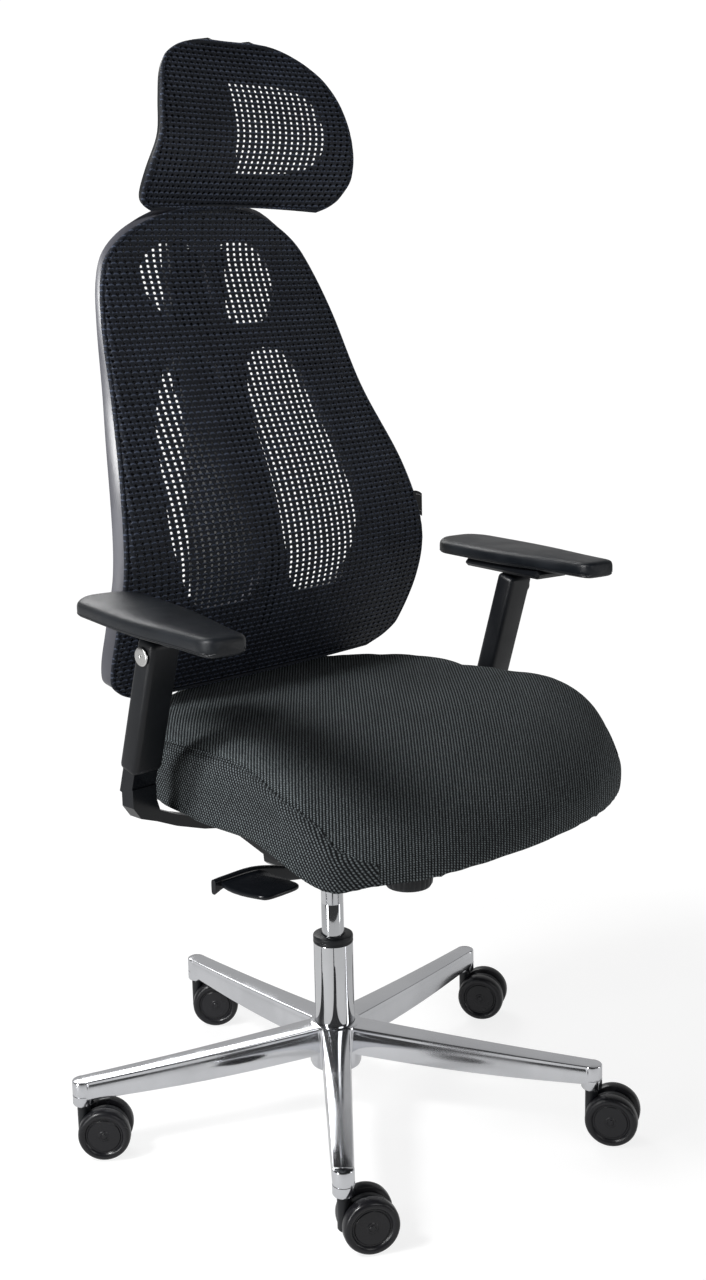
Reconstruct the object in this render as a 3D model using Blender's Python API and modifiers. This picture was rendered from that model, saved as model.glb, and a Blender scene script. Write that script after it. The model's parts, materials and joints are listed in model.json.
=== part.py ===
"""Swivel office chair with a mesh back, a headrest, adjustable arms and a five-star base.

Metres, +Z up, the front of the chair faces -Y and the floor is z = 0. All places below are in the
chair's own frame, whose z axis is the column's axis; COLUMN_X and COLUMN_Y put that axis in the world.
"""
import math

import bmesh
import bpy
from mathutils import Vector

# ---------------------------------------------------------------- driving dimensions
COLUMN_X = 0.0037       # column axis, from the middle of the chair's box
COLUMN_Y = 0.0011
GAP = 0.0003             # between pieces that touch
RUN = 0.0006             # between pieces that slide or turn in each other

# five-star base
STAR_COUNT = 5
STAR_TURN = math.radians(10.9)   # direction of the first arm, from +X
STEM_CIRCLE_R = 0.327            # castor stems' circle
STAR_HUB_TOP = 0.1175
STAR_HUB_BOTTOM = 0.060
STAR_HUB_R = 0.033
STAR_TIP_TOP = 0.0965
STAR_TIP_DEPTH = 0.0235          # arm's height at the tip
STAR_ROOT_DEPTH = 0.036          # arm's height at the hub
STAR_TIP_WIDTH = 0.022
STAR_ROOT_WIDTH = 0.038
BOSS_R = 0.0125
BOSS_BOTTOM = 0.0645

# castors
WHEEL_R = 0.032
WHEEL_WIDTH = 0.017
WHEEL_SIDES = 22                 # puts a flat facet on the floor
WHEEL_BORE_R = 0.0036
CASTOR_TRAIL = 0.026             # from stem to wheel axis
CASTOR_NECK = 0.016              # thickness of the hood between the wheels
CASTOR_TURNS = (-60.0, -44.0, -44.0, -31.0, -60.0)   # degrees, one for each arm
CASTOR_HOOD_R = 0.0265
STEM_R = 0.0055
STEM_TOP = 0.090

# column
TUBE_R = 0.025
TUBE_WALL = 0.0018
TUBE_TOP = 0.2245
TUBE_BOTTOM = 0.062
TUBE_FLOOR = 0.004
RING_TOP = 0.2345
SLEEVE_BOTTOM = 0.145            # guide sleeve's lower end, inside the tube
GAS_R = 0.014
GAS_BOTTOM = 0.160
GAS_TOP = 0.352
GAS_BORE_R = 0.0062
ROD_R = 0.005
ROD_TOP = 0.230
BEARING_TOP = 0.0737
PIN_R = 0.0030
PIN_HEAD_R = 0.0045
PIN_TRAVEL = 0.003

# tilt mechanism
HOUSING_WIDTH = 0.110
HOUSING_FRONT = -0.120
HOUSING_BACK = 0.075
HOUSING_BOTTOM = 0.322
HOUSING_TOP = 0.378
HOUSING_FRONT_RISE = 0.026       # the underside rises to the front
NOSE_FRONT = -0.160
SEAT_PIVOT = (-0.105, 0.370)     # y, z
BACK_PIVOT = (0.030, 0.352)      # y, z
PIVOT_PIN_R = 0.004
KNOB_Y = -0.132
KNOB_R = 0.030
KNOB_BOTTOM = 0.331
KNOB_TOP = 0.3615
LEVER_Y = -0.087
LEVER_Z = 0.364
LEVER_R = 0.004
LEVER_REACH = 0.252              # x of the paddle's end
PADDLE_Z = 0.390

# seat
SEAT_WIDTH = 0.526
SEAT_FRONT = -0.330
SEAT_BACK = 0.198
SEAT_TOP = 0.551
SEAT_BASE = 0.440                # underside of the cushion in the middle
SIDE_LIFT = 0.022                # how far the cushion's underside rises to the sides
FRONT_DROOP = 0.030
PAN_THICKNESS = 0.005
PAN_GAP = 0.0010                 # under the curved cushion
PAN_FRONT_DIP = 0.004            # the pan falls away from the cushion in front
PAN_SHARE = 0.8                  # of the cushion's plan
CUSHION_TUCK = 0.965             # the cushion's underside is this much smaller than its middle
PLATE_THICKNESS = 0.006
PLATE_WIDTH = 0.250
EAR_THICKNESS = 0.004

# backrest
BACK_BOTTOM = 0.558
BACK_HEIGHT = 0.573
BACK_WIDTH = 0.498
BACK_FRONT_Y = 0.066             # the lumbar curve's foremost point
BACK_CROWN = 0.008               # the middle stands this far in front of the edges
MESH_THICKNESS = 0.004
SHELL_THICKNESS = 0.016
SHELL_TOP_THICKNESS = 0.006
SPINE_WIDTH = 0.080
SPINE_FRONT_WIDTH = 0.030
SPINE_BACK = 0.172
SPINE_LOW = 0.060                # above the back's lower edge
SPINE_HIGH = 0.6894              # share of the back's height, level with the lower windows' top
BLADE_WIDTH = 0.055
BLADE_THICKNESS = 0.010
BLADE_Y = 0.155
BLADE_TOP = 0.185                # above the back's lower edge
BAR_BEHIND_SEAT = 0.030          # from the seat's rear edge to the bar's middle

# headrest
POST_X = 0.026
POST_WIDTH = 0.026
POST_THICKNESS = 0.008
POST_Y = 0.2215
HEAD_WIDTH = 0.318
HEAD_HEIGHT = 0.185
HEAD_LIFT = 0.001                # headrest's lower edge above the back's top
HEAD_FRONT_Y = 0.087
HEAD_HOLLOW = 0.016
HEAD_SAG = 0.006                 # the lower corners hang below the middle
HEAD_PIVOT_Y = 0.200
HEAD_PIVOT_UP = 0.078            # above the headrest's lower edge

# arms
ARM_GAP = 0.035                  # from the widest of seat and back to the post's middle
ARM_LEAN = math.radians(16.5)
SLEEVE_WIDTH = 0.041
SLEEVE_DEPTH = 0.028
SLEEVE_WALL = 0.0035
SLEEVE_LOW = (-0.0060, 0.505)    # y, z of the sleeve's lower end
SLEEVE_LENGTH = 0.160
ARM_RISE = 0.080
BRACKET_DEPTH = 0.020
BRACKET_THICKNESS = 0.013
BUTTON_R = 0.0105
BUTTON_TRAVEL = 0.002
BUTTON_UP = 0.142                # along the sleeve
PAD_LENGTH = 0.304
PAD_WIDTH = 0.086
PAD_THICKNESS = 0.022
PAD_BASE_THICKNESS = 0.010
PAD_REARS = (0.114, 0.1425)      # from the swivel to the pad's rear end, right and left
PAD_INSETS = (-0.0180, 0.0040)   # from the swivel to the pad's middle line, towards +X
ARM_NOTCH = (0.015, 0.0)         # the right arm is set one notch higher
PAD_TURNS = (-13.0, -11.0)       # degrees, both fronts turned to the sitter's right

# pieces that follow from the ones above
ARM_X = max(SEAT_WIDTH, BACK_WIDTH) / 2 + ARM_GAP
PLATE_TOP = SEAT_BASE - PAN_GAP - PAN_THICKNESS - 2 * GAP
BACK_TOP = BACK_BOTTOM + BACK_HEIGHT
HEAD_BOTTOM = BACK_TOP + HEAD_LIFT

# (share of the height, share of the half width, y behind the foremost point)
BACK_STATIONS = (
    (0.000, 0.800, 0.056), (0.050, 0.965, 0.043), (0.170, 1.000, 0.013), (0.280, 0.984, 0.000),
    (0.420, 0.924, 0.018), (0.600, 0.810, 0.064), (0.770, 0.740, 0.100), (0.880, 0.655, 0.121),
    (0.950, 0.480, 0.123), (1.000, 0.150, 0.112))
HEAD_STATIONS = (
    (0.000, 0.900, 0.046), (0.080, 0.990, 0.030), (0.200, 1.000, 0.012), (0.400, 0.925, 0.000),
    (0.620, 0.870, 0.008), (0.780, 0.780, 0.022), (0.920, 0.610, 0.040), (1.000, 0.360, 0.045))

PLACES = {}
CHAIR = None
CUTTERS = None


# ---------------------------------------------------------------- shared tools
def clear_scene():
    for old in list(bpy.data.objects):
        bpy.data.objects.remove(old, do_unlink=True)


def material(name, colour, roughness, metallic=0.0):
    made = bpy.data.materials.get(name)
    if made is None:
        made = bpy.data.materials.new(name)
        made.use_nodes = True
        shader = made.node_tree.nodes["Principled BSDF"]
        shader.inputs["Base Color"].default_value = (*colour, 1.0)
        shader.inputs["Roughness"].default_value = roughness
        shader.inputs["Metallic"].default_value = metallic
    return made


def polished_aluminium():
    return material("polished_aluminium", (0.78, 0.79, 0.81), 0.12, 1.0)


def chrome():
    return material("chrome", (0.80, 0.81, 0.83), 0.06, 1.0)


def steel():
    return material("steel", (0.45, 0.46, 0.48), 0.35, 1.0)


def black_plastic():
    return material("black_plastic", (0.022, 0.023, 0.025), 0.45)


def black_casting():
    return material("black_casting", (0.018, 0.018, 0.020), 0.30)


def soft_tread():
    return material("soft_tread", (0.030, 0.031, 0.034), 0.60)


def arm_foam():
    return material("arm_foam", (0.028, 0.030, 0.034), 0.55)


def seat_fabric():
    return material("seat_fabric", (0.035, 0.045, 0.050), 0.90)


def back_knit():
    return material("back_knit", (0.012, 0.012, 0.013), 0.85)


def pivot(name, point, parent=None, rotation=(0.0, 0.0, 0.0)):
    """An empty on a joint's axis; point is in the chair's frame."""
    empty = bpy.data.objects.new(name, None)
    empty.empty_display_size = 0.03
    CHAIR.objects.link(empty)
    PLACES[name] = Vector(point)
    empty.rotation_euler = rotation
    empty.location = Vector(point)
    if parent is not None:
        empty.parent = parent
        empty.location -= PLACES[parent.name]
    return empty


def add(name, mesh, finish, parent, point=(0.0, 0.0, 0.0), rotation=(0.0, 0.0, 0.0), local=False):
    """A piece; point is in the chair's frame, or in its parent's when local."""
    piece = bpy.data.objects.new(name, mesh)
    CHAIR.objects.link(piece)
    mesh.materials.append(finish)
    piece.parent = parent
    piece.rotation_euler = rotation
    piece.location = Vector(point) if local else Vector(point) - PLACES[parent.name]
    return piece


def hide_tool(tool):
    CHAIR.objects.unlink(tool)
    CUTTERS.objects.link(tool)
    tool.hide_render = True
    tool.display_type = 'WIRE'


def combine(piece, tool, operation='DIFFERENCE'):
    step = piece.modifiers.new(operation.lower(), 'BOOLEAN')
    step.operation = operation
    step.object = tool
    hide_tool(tool)


def bevel(piece, width, segments=2, angle=30.0):
    step = piece.modifiers.new("edges", 'BEVEL')
    step.width = width
    step.segments = segments
    step.limit_method = 'ANGLE'
    step.angle_limit = math.radians(angle)
    return piece


def smooth(mesh, angle=35.0):
    mesh.shade_smooth()
    mesh.set_sharp_from_angle(angle=math.radians(angle))
    return mesh


def block_mesh(name, size):
    """A box around its own middle."""
    shape = bmesh.new()
    bmesh.ops.create_cube(shape, size=1.0)
    bmesh.ops.scale(shape, vec=size, verts=shape.verts)
    mesh = bpy.data.meshes.new(name)
    shape.to_mesh(mesh)
    shape.free()
    return mesh


def rod_mesh(name, radius, length, sides=20):
    """A cylinder along z around its own middle."""
    shape = bmesh.new()
    bmesh.ops.create_cone(shape, cap_ends=True, segments=sides, radius1=radius, radius2=radius,
                          depth=length)
    mesh = bpy.data.meshes.new(name)
    shape.to_mesh(mesh)
    shape.free()
    return smooth(mesh)


def shaped_mesh(name, cuts, form):
    """A cube divided evenly, with each point (u, v, w) in -1..1 moved to form(u, v, w)."""
    shape = bmesh.new()
    bmesh.ops.create_cube(shape, size=2.0)
    bmesh.ops.subdivide_edges(shape, edges=shape.edges, cuts=cuts, use_grid_fill=True)
    for vert in shape.verts:
        vert.co = form(*vert.co)
    mesh = bpy.data.meshes.new(name)
    shape.to_mesh(mesh)
    shape.free()
    return smooth(mesh)


def sheet_mesh(name, columns, rows, form, thickness):
    """A grid with each point (u, v) in -1..1 moved to form(u, v), then thickness(z) thick towards +Y."""
    shape = bmesh.new()
    bmesh.ops.create_grid(shape, x_segments=columns, y_segments=rows, size=1.0)
    bmesh.ops.reverse_faces(shape, faces=shape.faces)
    for vert in shape.verts:
        vert.co = form(vert.co.x, vert.co.y)
    front = list(shape.faces)
    copied = bmesh.ops.duplicate(shape, geom=list(shape.verts) + list(shape.edges) + front)
    behind = [item for item in copied["geom"] if isinstance(item, bmesh.types.BMVert)]
    for vert in behind:
        vert.co.y += thickness(vert.co.z)
    rims = [edge for edge in shape.edges if len(edge.link_faces) == 1]
    bmesh.ops.bridge_loops(shape, edges=rims)
    bmesh.ops.recalc_face_normals(shape, faces=shape.faces)
    mesh = bpy.data.meshes.new(name)
    shape.to_mesh(mesh)
    shape.free()
    return smooth(mesh)


def turned(name, profile, finish, parent, point, closed=False, steps=24, rotation=(0.0, 0.0, 0.0),
           local=False):
    """A turned piece: profile is (radius, z) from the top down the outer side."""
    mesh = bpy.data.meshes.new(name)
    edges = [(i, i + 1) for i in range(len(profile) - 1)]
    if closed:
        edges.append((len(profile) - 1, 0))
    mesh.from_pydata([(radius, 0.0, z) for radius, z in profile], edges, [])
    piece = add(name, mesh, finish, parent, point, rotation, local)
    screw = piece.modifiers.new("turn", 'SCREW')
    screw.steps = steps
    screw.render_steps = steps
    screw.use_merge_vertices = True
    screw.merge_threshold = 0.00001
    screw.use_smooth_shade = True
    return piece


def outline_mesh(name, points, thickness):
    """A flat outline in x and y, as thick as given and around z = 0."""
    curve = bpy.data.curves.new(name + "_outline", 'CURVE')
    curve.dimensions = '2D'
    curve.fill_mode = 'BOTH'
    curve.extrude = thickness / 2
    line = curve.splines.new('POLY')
    line.points.add(len(points) - 1)
    for spot, (x, y) in zip(line.points, points):
        spot.co = (x, y, 0.0, 1.0)
    line.use_cyclic_u = True
    return solid_from_curve(name, curve)


def wire_mesh(name, points, radius, resolution=2):
    """A round wire through points."""
    curve = bpy.data.curves.new(name + "_line", 'CURVE')
    curve.dimensions = '3D'
    curve.bevel_depth = radius
    curve.bevel_resolution = resolution
    curve.use_fill_caps = True
    line = curve.splines.new('POLY')
    line.points.add(len(points) - 1)
    for spot, point in zip(line.points, points):
        spot.co = (*point, 1.0)
    return solid_from_curve(name, curve)


def solid_from_curve(name, curve):
    guide = bpy.data.objects.new(name + "_guide", curve)
    bpy.context.scene.collection.objects.link(guide)
    graph = bpy.context.evaluated_depsgraph_get()
    mesh = bpy.data.meshes.new_from_object(guide.evaluated_get(graph))
    bpy.data.objects.remove(guide, do_unlink=True)
    shape = bmesh.new()
    shape.from_mesh(mesh)
    bmesh.ops.remove_doubles(shape, verts=shape.verts, dist=0.00001)
    shape.to_mesh(mesh)
    shape.free()
    mesh.name = name
    mesh.materials.clear()
    return smooth(mesh)


def smooth_step(t):
    t = min(1.0, max(0.0, t))
    return t * t * (3.0 - 2.0 * t)


def read_stations(stations, share, column):
    """A value between stations, on a smooth curve through them."""
    share = min(stations[-1][0], max(stations[0][0], share))
    last = len(stations) - 1
    i = max(k for k in range(last) if stations[k][0] <= share)
    slopes = []
    for k in (i, i + 1):
        before, after = stations[max(k - 1, 0)], stations[min(k + 1, last)]
        slopes.append((after[column] - before[column]) / (after[0] - before[0]))
    width = stations[i + 1][0] - stations[i][0]
    t = (share - stations[i][0]) / width
    start, stop = stations[i][column], stations[i + 1][column]
    return (start * (1 + 2 * t) * (1 - t) ** 2 + stop * t * t * (3 - 2 * t)
            + slopes[0] * width * t * (1 - t) ** 2 - slopes[1] * width * t * t * (1 - t))


def rounded_outline(corners):
    """A closed outline with each corner cut twice."""
    for share in (0.25, 0.28):
        cut = []
        for i, corner in enumerate(corners):
            here, after = Vector(corner), Vector(corners[(i + 1) % len(corners)])
            cut.append(tuple(here.lerp(after, share)))
            cut.append(tuple(here.lerp(after, 1.0 - share)))
        corners = cut
    return corners


# ---------------------------------------------------------------- base and castors
def make_base(root):
    hub = turned("base_star", [
        (STAR_HUB_R - 0.003, STAR_HUB_TOP), (STAR_HUB_R, STAR_HUB_TOP - 0.003), (STAR_HUB_R,
                STAR_HUB_BOTTOM + 0.002),
        (STAR_HUB_R - 0.002, STAR_HUB_BOTTOM), (TUBE_R + GAP, STAR_HUB_BOTTOM), (TUBE_R + GAP,
                STAR_HUB_TOP)],
        polished_aluminium(), root, (0, 0, 0), closed=True, steps=30)
    inner = TUBE_R + 0.004
    for k in range(STAR_COUNT):
        turn = STAR_TURN + k * math.tau / STAR_COUNT
        reach = Vector((math.cos(turn), math.sin(turn), 0.0))

        def arm_form(u, v, w):
            share = (u + 1) / 2
            top = STAR_HUB_TOP - 0.0008 + (STAR_TIP_TOP - STAR_HUB_TOP) * share
            depth = STAR_ROOT_DEPTH + (STAR_TIP_DEPTH - STAR_ROOT_DEPTH) * share
            width = STAR_ROOT_WIDTH + (STAR_TIP_WIDTH - STAR_ROOT_WIDTH) * share
            taper = 0.80 if w > 0 else 1.0
            return Vector((inner + (STEM_CIRCLE_R - inner) * share, v * width / 2 * taper,
                           top - depth * (1 - w) / 2))

        arm = add(f"star_arm_{k + 1}", shaped_mesh(f"star_arm_{k + 1}", 1, arm_form), polished_aluminium(),
                  root, (0, 0, 0), (0, 0, turn))
        bevel(arm, 0.003, 1, 40)
        combine(hub, arm, 'UNION')
        boss = add(f"star_boss_{k + 1}", rod_mesh("boss", BOSS_R, STAR_TIP_TOP - BOSS_BOTTOM, 20),
                   polished_aluminium(), root, reach * STEM_CIRCLE_R + Vector((0, 0,
                           (STAR_TIP_TOP + BOSS_BOTTOM) / 2)))
        combine(hub, boss, 'UNION')
    for k in range(STAR_COUNT):
        turn = STAR_TURN + k * math.tau / STAR_COUNT
        spot = Vector((math.cos(turn), math.sin(turn), 0.0)) * STEM_CIRCLE_R
        depth = STEM_TOP + RUN - BOSS_BOTTOM + 0.01
        bore = add(f"stem_bore_{k + 1}", rod_mesh("bore", STEM_R + RUN, depth, 16),
                   polished_aluminium(), root,
                   spot + Vector((0, 0, STEM_TOP + RUN - depth / 2)))
        combine(hub, bore)


def make_castor(root, k):
    """One twin-wheel castor; in its own frame x is the trail and z the stem's axis."""
    turn = STAR_TURN + k * math.tau / STAR_COUNT
    spot = Vector((math.cos(turn), math.sin(turn), 0.0)) * STEM_CIRCLE_R
    number = k + 1
    swivel = pivot(f"castor_swivel_{number}", spot, root, (0, 0, math.radians(CASTOR_TURNS[k])))
    hood_top = BOSS_BOTTOM - GAP
    neck_low = WHEEL_R - 0.012
    hood = add(f"castor_hood_{number}", rod_mesh("neck", CASTOR_NECK / 2, hood_top - neck_low, 16),
               black_plastic(),
               swivel, (0, 0, (hood_top + neck_low) / 2), local=True)
    web = add(f"castor_web_{number}", rod_mesh("web", CASTOR_HOOD_R, CASTOR_NECK - 0.002, 20),
              black_plastic(),
              swivel, (CASTOR_TRAIL, 0, WHEEL_R), (math.pi / 2, 0, 0), local=True)
    combine(hood, web, 'UNION')
    tools = (("axle_hole", WHEEL_BORE_R, CASTOR_NECK + 0.01, (CASTOR_TRAIL, 0, WHEEL_R),
              (math.pi / 2, 0, 0)),
             ("stem_hole", STEM_R + GAP, 0.03, (0, 0, hood_top + 0.015 - 0.012), (0, 0, 0)))
    for tool, radius, length, place, rotation in tools:
        hole = add(f"{tool}_{number}", rod_mesh(tool, radius, length, 16), black_plastic(), swivel,
                   place, rotation,
                   local=True)
        combine(hood, hole)
    low = hood_top - 0.012 + GAP
    add(f"castor_stem_{number}", rod_mesh("stem", STEM_R, STEM_TOP - low, 16), steel(), swivel,
        (0, 0, (STEM_TOP + low) / 2), local=True)
    inner = CASTOR_NECK / 2 + 0.0005
    length = 2 * (inner + WHEEL_WIDTH) - 0.006
    add(f"castor_axle_{number}", rod_mesh("axle", WHEEL_BORE_R - GAP, length, 16), steel(), swivel,
        (CASTOR_TRAIL, 0, WHEEL_R), (math.pi / 2, 0, 0), local=True)
    corner_r = WHEEL_R / math.cos(math.pi / WHEEL_SIDES)
    bore = WHEEL_BORE_R + GAP
    half = WHEEL_WIDTH / 2
    profile = [(bore, half - 0.002), (corner_r - 0.010, half - 0.002), (corner_r - 0.006, half),
               (corner_r - 0.002, half), (corner_r, half - 0.003), (corner_r, 0.003 - half),
               (corner_r - 0.003, -half), (bore, -half)]
    for side, letter in ((-1, "a"), (1, "b")):
        turned(f"castor_wheel_{number}{letter}", profile, soft_tread(), swivel,
               (CASTOR_TRAIL, side * (inner + half), WHEEL_R), closed=True, steps=WHEEL_SIDES,
               rotation=(-side * math.pi / 2, 0, 0), local=True)


# ---------------------------------------------------------------- column
def make_column(root):
    bore = TUBE_R - TUBE_WALL
    turned("column_tube", [
        (TUBE_R, TUBE_TOP), (TUBE_R, TUBE_BOTTOM), (ROD_R + RUN, TUBE_BOTTOM), (ROD_R + RUN,
                TUBE_BOTTOM + TUBE_FLOOR),
        (bore, TUBE_BOTTOM + TUBE_FLOOR), (bore, TUBE_TOP)], chrome(), root, (0, 0,
                0), closed=True, steps=30)
    turned("guide_sleeve", [
        (TUBE_R - 0.001, RING_TOP), (TUBE_R + 0.0003, RING_TOP - 0.0015), (TUBE_R + 0.0003, TUBE_TOP + GAP),
        (bore - GAP, TUBE_TOP + GAP), (bore - GAP, SLEEVE_BOTTOM), (GAS_R + RUN, SLEEVE_BOTTOM),
        (GAS_R + RUN, RING_TOP)], black_plastic(), root, (0, 0, 0), closed=True, steps=30)
    floor = TUBE_BOTTOM + TUBE_FLOOR + GAP
    turned("thrust_bearing", [
        (GAS_R, BEARING_TOP), (GAS_R, floor), (ROD_R + RUN, floor), (ROD_R + RUN, BEARING_TOP)],
        steel(), root, (0, 0, 0), closed=True, steps=20)
    swivel = pivot("chair_swivel", (0, 0, BEARING_TOP), root)
    turned("piston_rod", [
        (0.0, ROD_TOP), (ROD_R - 0.0005, ROD_TOP), (ROD_R, ROD_TOP - 0.001), (ROD_R, BEARING_TOP + 0.005),
        (0.009, BEARING_TOP + 0.005), (0.009, BEARING_TOP + GAP), (ROD_R, BEARING_TOP + GAP),
        (ROD_R, TUBE_BOTTOM - 0.003), (0.0, TUBE_BOTTOM - 0.003)], steel(), swivel, (0, 0, 0), steps=16)
    lift = pivot("column_lift", (0, 0, GAS_BOTTOM), swivel)
    step = GAS_TOP - 0.030
    turned("gas_cylinder", [
        (GAS_R - 0.001, GAS_TOP), (GAS_R, GAS_TOP - 0.001), (GAS_R, GAS_BOTTOM), (GAS_BORE_R, GAS_BOTTOM),
        (GAS_BORE_R, step), (PIN_R + GAP, step), (PIN_R + GAP, GAS_TOP)], chrome(), lift, (0, 0, 0),
        closed=True, steps=24)
    button = pivot("release_pin_slide", (0, 0, GAS_TOP), lift)
    head = GAS_TOP + PIN_TRAVEL + 0.0005
    turned("release_pin", [
        (0.0, head + 0.006), (PIN_HEAD_R, head + 0.006), (PIN_HEAD_R, head), (PIN_R, head), (PIN_R,
                GAS_TOP - 0.018),
        (0.0, GAS_TOP - 0.018)], steel(), button, (0, 0, 0), steps=12)
    return lift


# ---------------------------------------------------------------- tilt mechanism
def make_mechanism(lift):
    middle_y = (HOUSING_FRONT + HOUSING_BACK) / 2
    height = HOUSING_TOP - HOUSING_BOTTOM
    middle_z = HOUSING_BOTTOM + height / 2

    def body_form(u, v, w):
        shrink = 1.0 - 0.12 * (1 - w) / 2 * abs(u)
        rise = HOUSING_FRONT_RISE * max(0.0, -v) * (1 - w) / 2
        return Vector((u * HOUSING_WIDTH / 2 * shrink, v * (HOUSING_BACK - HOUSING_FRONT) / 2,
                       w * height / 2 + rise))

    housing = add("mechanism_housing", shaped_mesh("mechanism_housing", 1, body_form), black_casting(),
                  lift,
                  (0, middle_y, middle_z))
    bevel(housing, 0.004, 1, 60)
    nose_low = KNOB_TOP + 0.0015
    nose_top = HOUSING_TOP - 0.0045
    nose = add("housing_nose", block_mesh("nose", (0.060, 0.07, nose_top - nose_low)), black_casting(),
               lift,
               (0, NOSE_FRONT + 0.035, (nose_top + nose_low) / 2))
    combine(housing, nose, 'UNION')
    wall = HOUSING_WIDTH / 2
    tools = [
        ("spring_well", block_mesh("well", (0.060, 0.062, height)), (0, -0.066, middle_z + 0.0235),
         (0, 0, 0)),
        ("knob_room", rod_mesh("room", KNOB_R + 0.003, 0.06, 24), (0, KNOB_Y, nose_low - 0.03), (0, 0, 0)),
        ("cylinder_bore", rod_mesh("bore", GAS_R + GAP, 0.06, 24), (0, 0, GAS_TOP + GAP - 0.03), (0, 0, 0)),
        ("pin_bore", rod_mesh("pin_bore", PIN_HEAD_R + RUN, 0.06, 12), (0, 0, GAS_TOP + 0.025), (0, 0, 0)),
        ("knob_bore", rod_mesh("knob_bore", 0.0066, 0.024, 12), (0, KNOB_Y, nose_low), (0, 0, 0)),
        ("seat_pin_bore", rod_mesh("seat_bore", PIVOT_PIN_R + GAP, HOUSING_WIDTH + 0.02, 16),
         (0, *SEAT_PIVOT), (0, math.pi / 2, 0)),
        ("back_pin_bore", rod_mesh("back_bore", PIVOT_PIN_R + GAP, 0.030, 16),
         (wall - 0.006, *BACK_PIVOT), (0, math.pi / 2, 0)),
        ("back_pin_bore_b", rod_mesh("back_bore_b", PIVOT_PIN_R + GAP, 0.030, 16),
         (0.006 - wall, *BACK_PIVOT), (0, math.pi / 2, 0)),
        ("lever_hole", rod_mesh("lever_hole", LEVER_R + 0.003, 0.04, 16), (-wall, LEVER_Y, LEVER_Z),
         (0, math.pi / 2, 0)),
        ("lock_hole", rod_mesh("lock_hole", LEVER_R + 0.003, 0.04, 16), (wall, LEVER_Y, LEVER_Z),
         (0, math.pi / 2, 0)),
    ]
    for name, mesh, place, rotation in tools:
        combine(housing, add(name, mesh, black_casting(), lift, place, rotation))
    ear_reach = HOUSING_WIDTH / 2 + 0.002 + EAR_THICKNESS
    add("seat_tilt_pin", rod_mesh("seat_tilt_pin", PIVOT_PIN_R, 2 * (ear_reach + 0.002), 16), steel(), lift,
        (0, *SEAT_PIVOT), (0, math.pi / 2, 0))
    for side, word in ((-1, "right"), (1, "left")):
        inner_end = wall - 0.018
        outer_end = wall + 0.0135
        add(f"back_tilt_pin_{word}", rod_mesh(f"back_tilt_pin_{word}", PIVOT_PIN_R,
                                              outer_end - inner_end, 16), steel(),
            lift, (side * (inner_end + outer_end) / 2, *BACK_PIVOT), (0, math.pi / 2, 0))
    make_spring(lift)
    make_knob(lift)
    make_side_lever(lift, "height_lever", -1)
    make_side_lever(lift, "tilt_lock_lever", 1)


def make_spring(lift):
    turns, per_turn = 4, 12
    radius, wire = 0.0125, 0.0022
    front, rear = -0.090, -0.042
    points = []
    for i in range(turns * per_turn + 1):
        angle = math.tau * i / per_turn
        y = front + (rear - front) * i / (turns * per_turn)
        points.append((radius * math.cos(angle), y, radius * math.sin(angle)))
    add("tension_spring", wire_mesh("tension_spring", points, wire, 1), steel(), lift, (0, 0, 0.3620))


def make_knob(lift):
    turn = pivot("tension_knob_turn", (0, KNOB_Y, KNOB_TOP), lift)
    turned("tension_knob", [
        (0.0, KNOB_TOP + 0.010), (0.006, KNOB_TOP + 0.010), (0.006, KNOB_TOP), (KNOB_R - 0.003, KNOB_TOP),
        (KNOB_R, KNOB_TOP - 0.003), (KNOB_R, KNOB_BOTTOM + 0.004), (KNOB_R - 0.004, KNOB_BOTTOM),
        (0.0, KNOB_BOTTOM)], black_plastic(), turn, (0, KNOB_Y, 0), steps=20)


def make_side_lever(lift, name, side):
    """A bent rod out of the housing's side, with a flat paddle; side is -1 on the sitter's right."""
    wall = HOUSING_WIDTH / 2
    hinge = pivot(name + "_hinge", (side * wall, LEVER_Y, LEVER_Z), lift)
    bend = 0.105
    neck = LEVER_REACH - 0.060
    points = [(side * (wall - 0.012), LEVER_Y, LEVER_Z), (side * bend, LEVER_Y, LEVER_Z),
              (side * (neck - 0.02), LEVER_Y - 0.008, PADDLE_Z), (side * (neck + 0.01), LEVER_Y - 0.012,
                      PADDLE_Z)]
    lever = add(name, wire_mesh(name, points, LEVER_R, 2), black_plastic(), hinge)
    outline = [(neck - 0.008, LEVER_Y - 0.048), (neck + 0.022, LEVER_Y - 0.060),
               (LEVER_REACH - 0.004, LEVER_Y - 0.040),
               (LEVER_REACH, LEVER_Y - 0.010), (LEVER_REACH - 0.014, LEVER_Y + 0.022), (neck + 0.022,
                       LEVER_Y + 0.016),
               (neck + 0.010, LEVER_Y + 0.004), (neck - 0.016, LEVER_Y + 0.002), (neck - 0.020,
                       LEVER_Y - 0.020)]
    if side < 0:
        outline = [(-x, y) for x, y in reversed(outline)]
    paddle = add(name + "_paddle", outline_mesh(name + "_paddle", outline, 0.0095), black_plastic(), hinge,
                 (0, 0, PADDLE_Z))
    combine(lever, paddle, 'UNION')


# ---------------------------------------------------------------- seat
def seat_plan(u, v, inset=0.0):
    """Plan of the cushion: bowed front, round rear corners; u and v run from -1 to 1."""
    half = SEAT_WIDTH / 2 - inset
    front, back = SEAT_FRONT + inset, SEAT_BACK - inset
    rear = max(0.0, v)
    narrow = 1.0 - 0.24 * rear ** 3 - 0.06 * max(0.0, -v) ** 6
    y = front + (back - front) * (v + 1) / 2
    bow = max(0.0, -v) ** 2 * (0.055 * u * u + 0.012 * u ** 6)
    round_rear = -0.075 * rear ** 2 * abs(u) ** 3
    return u * half * narrow, y + bow + round_rear


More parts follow.
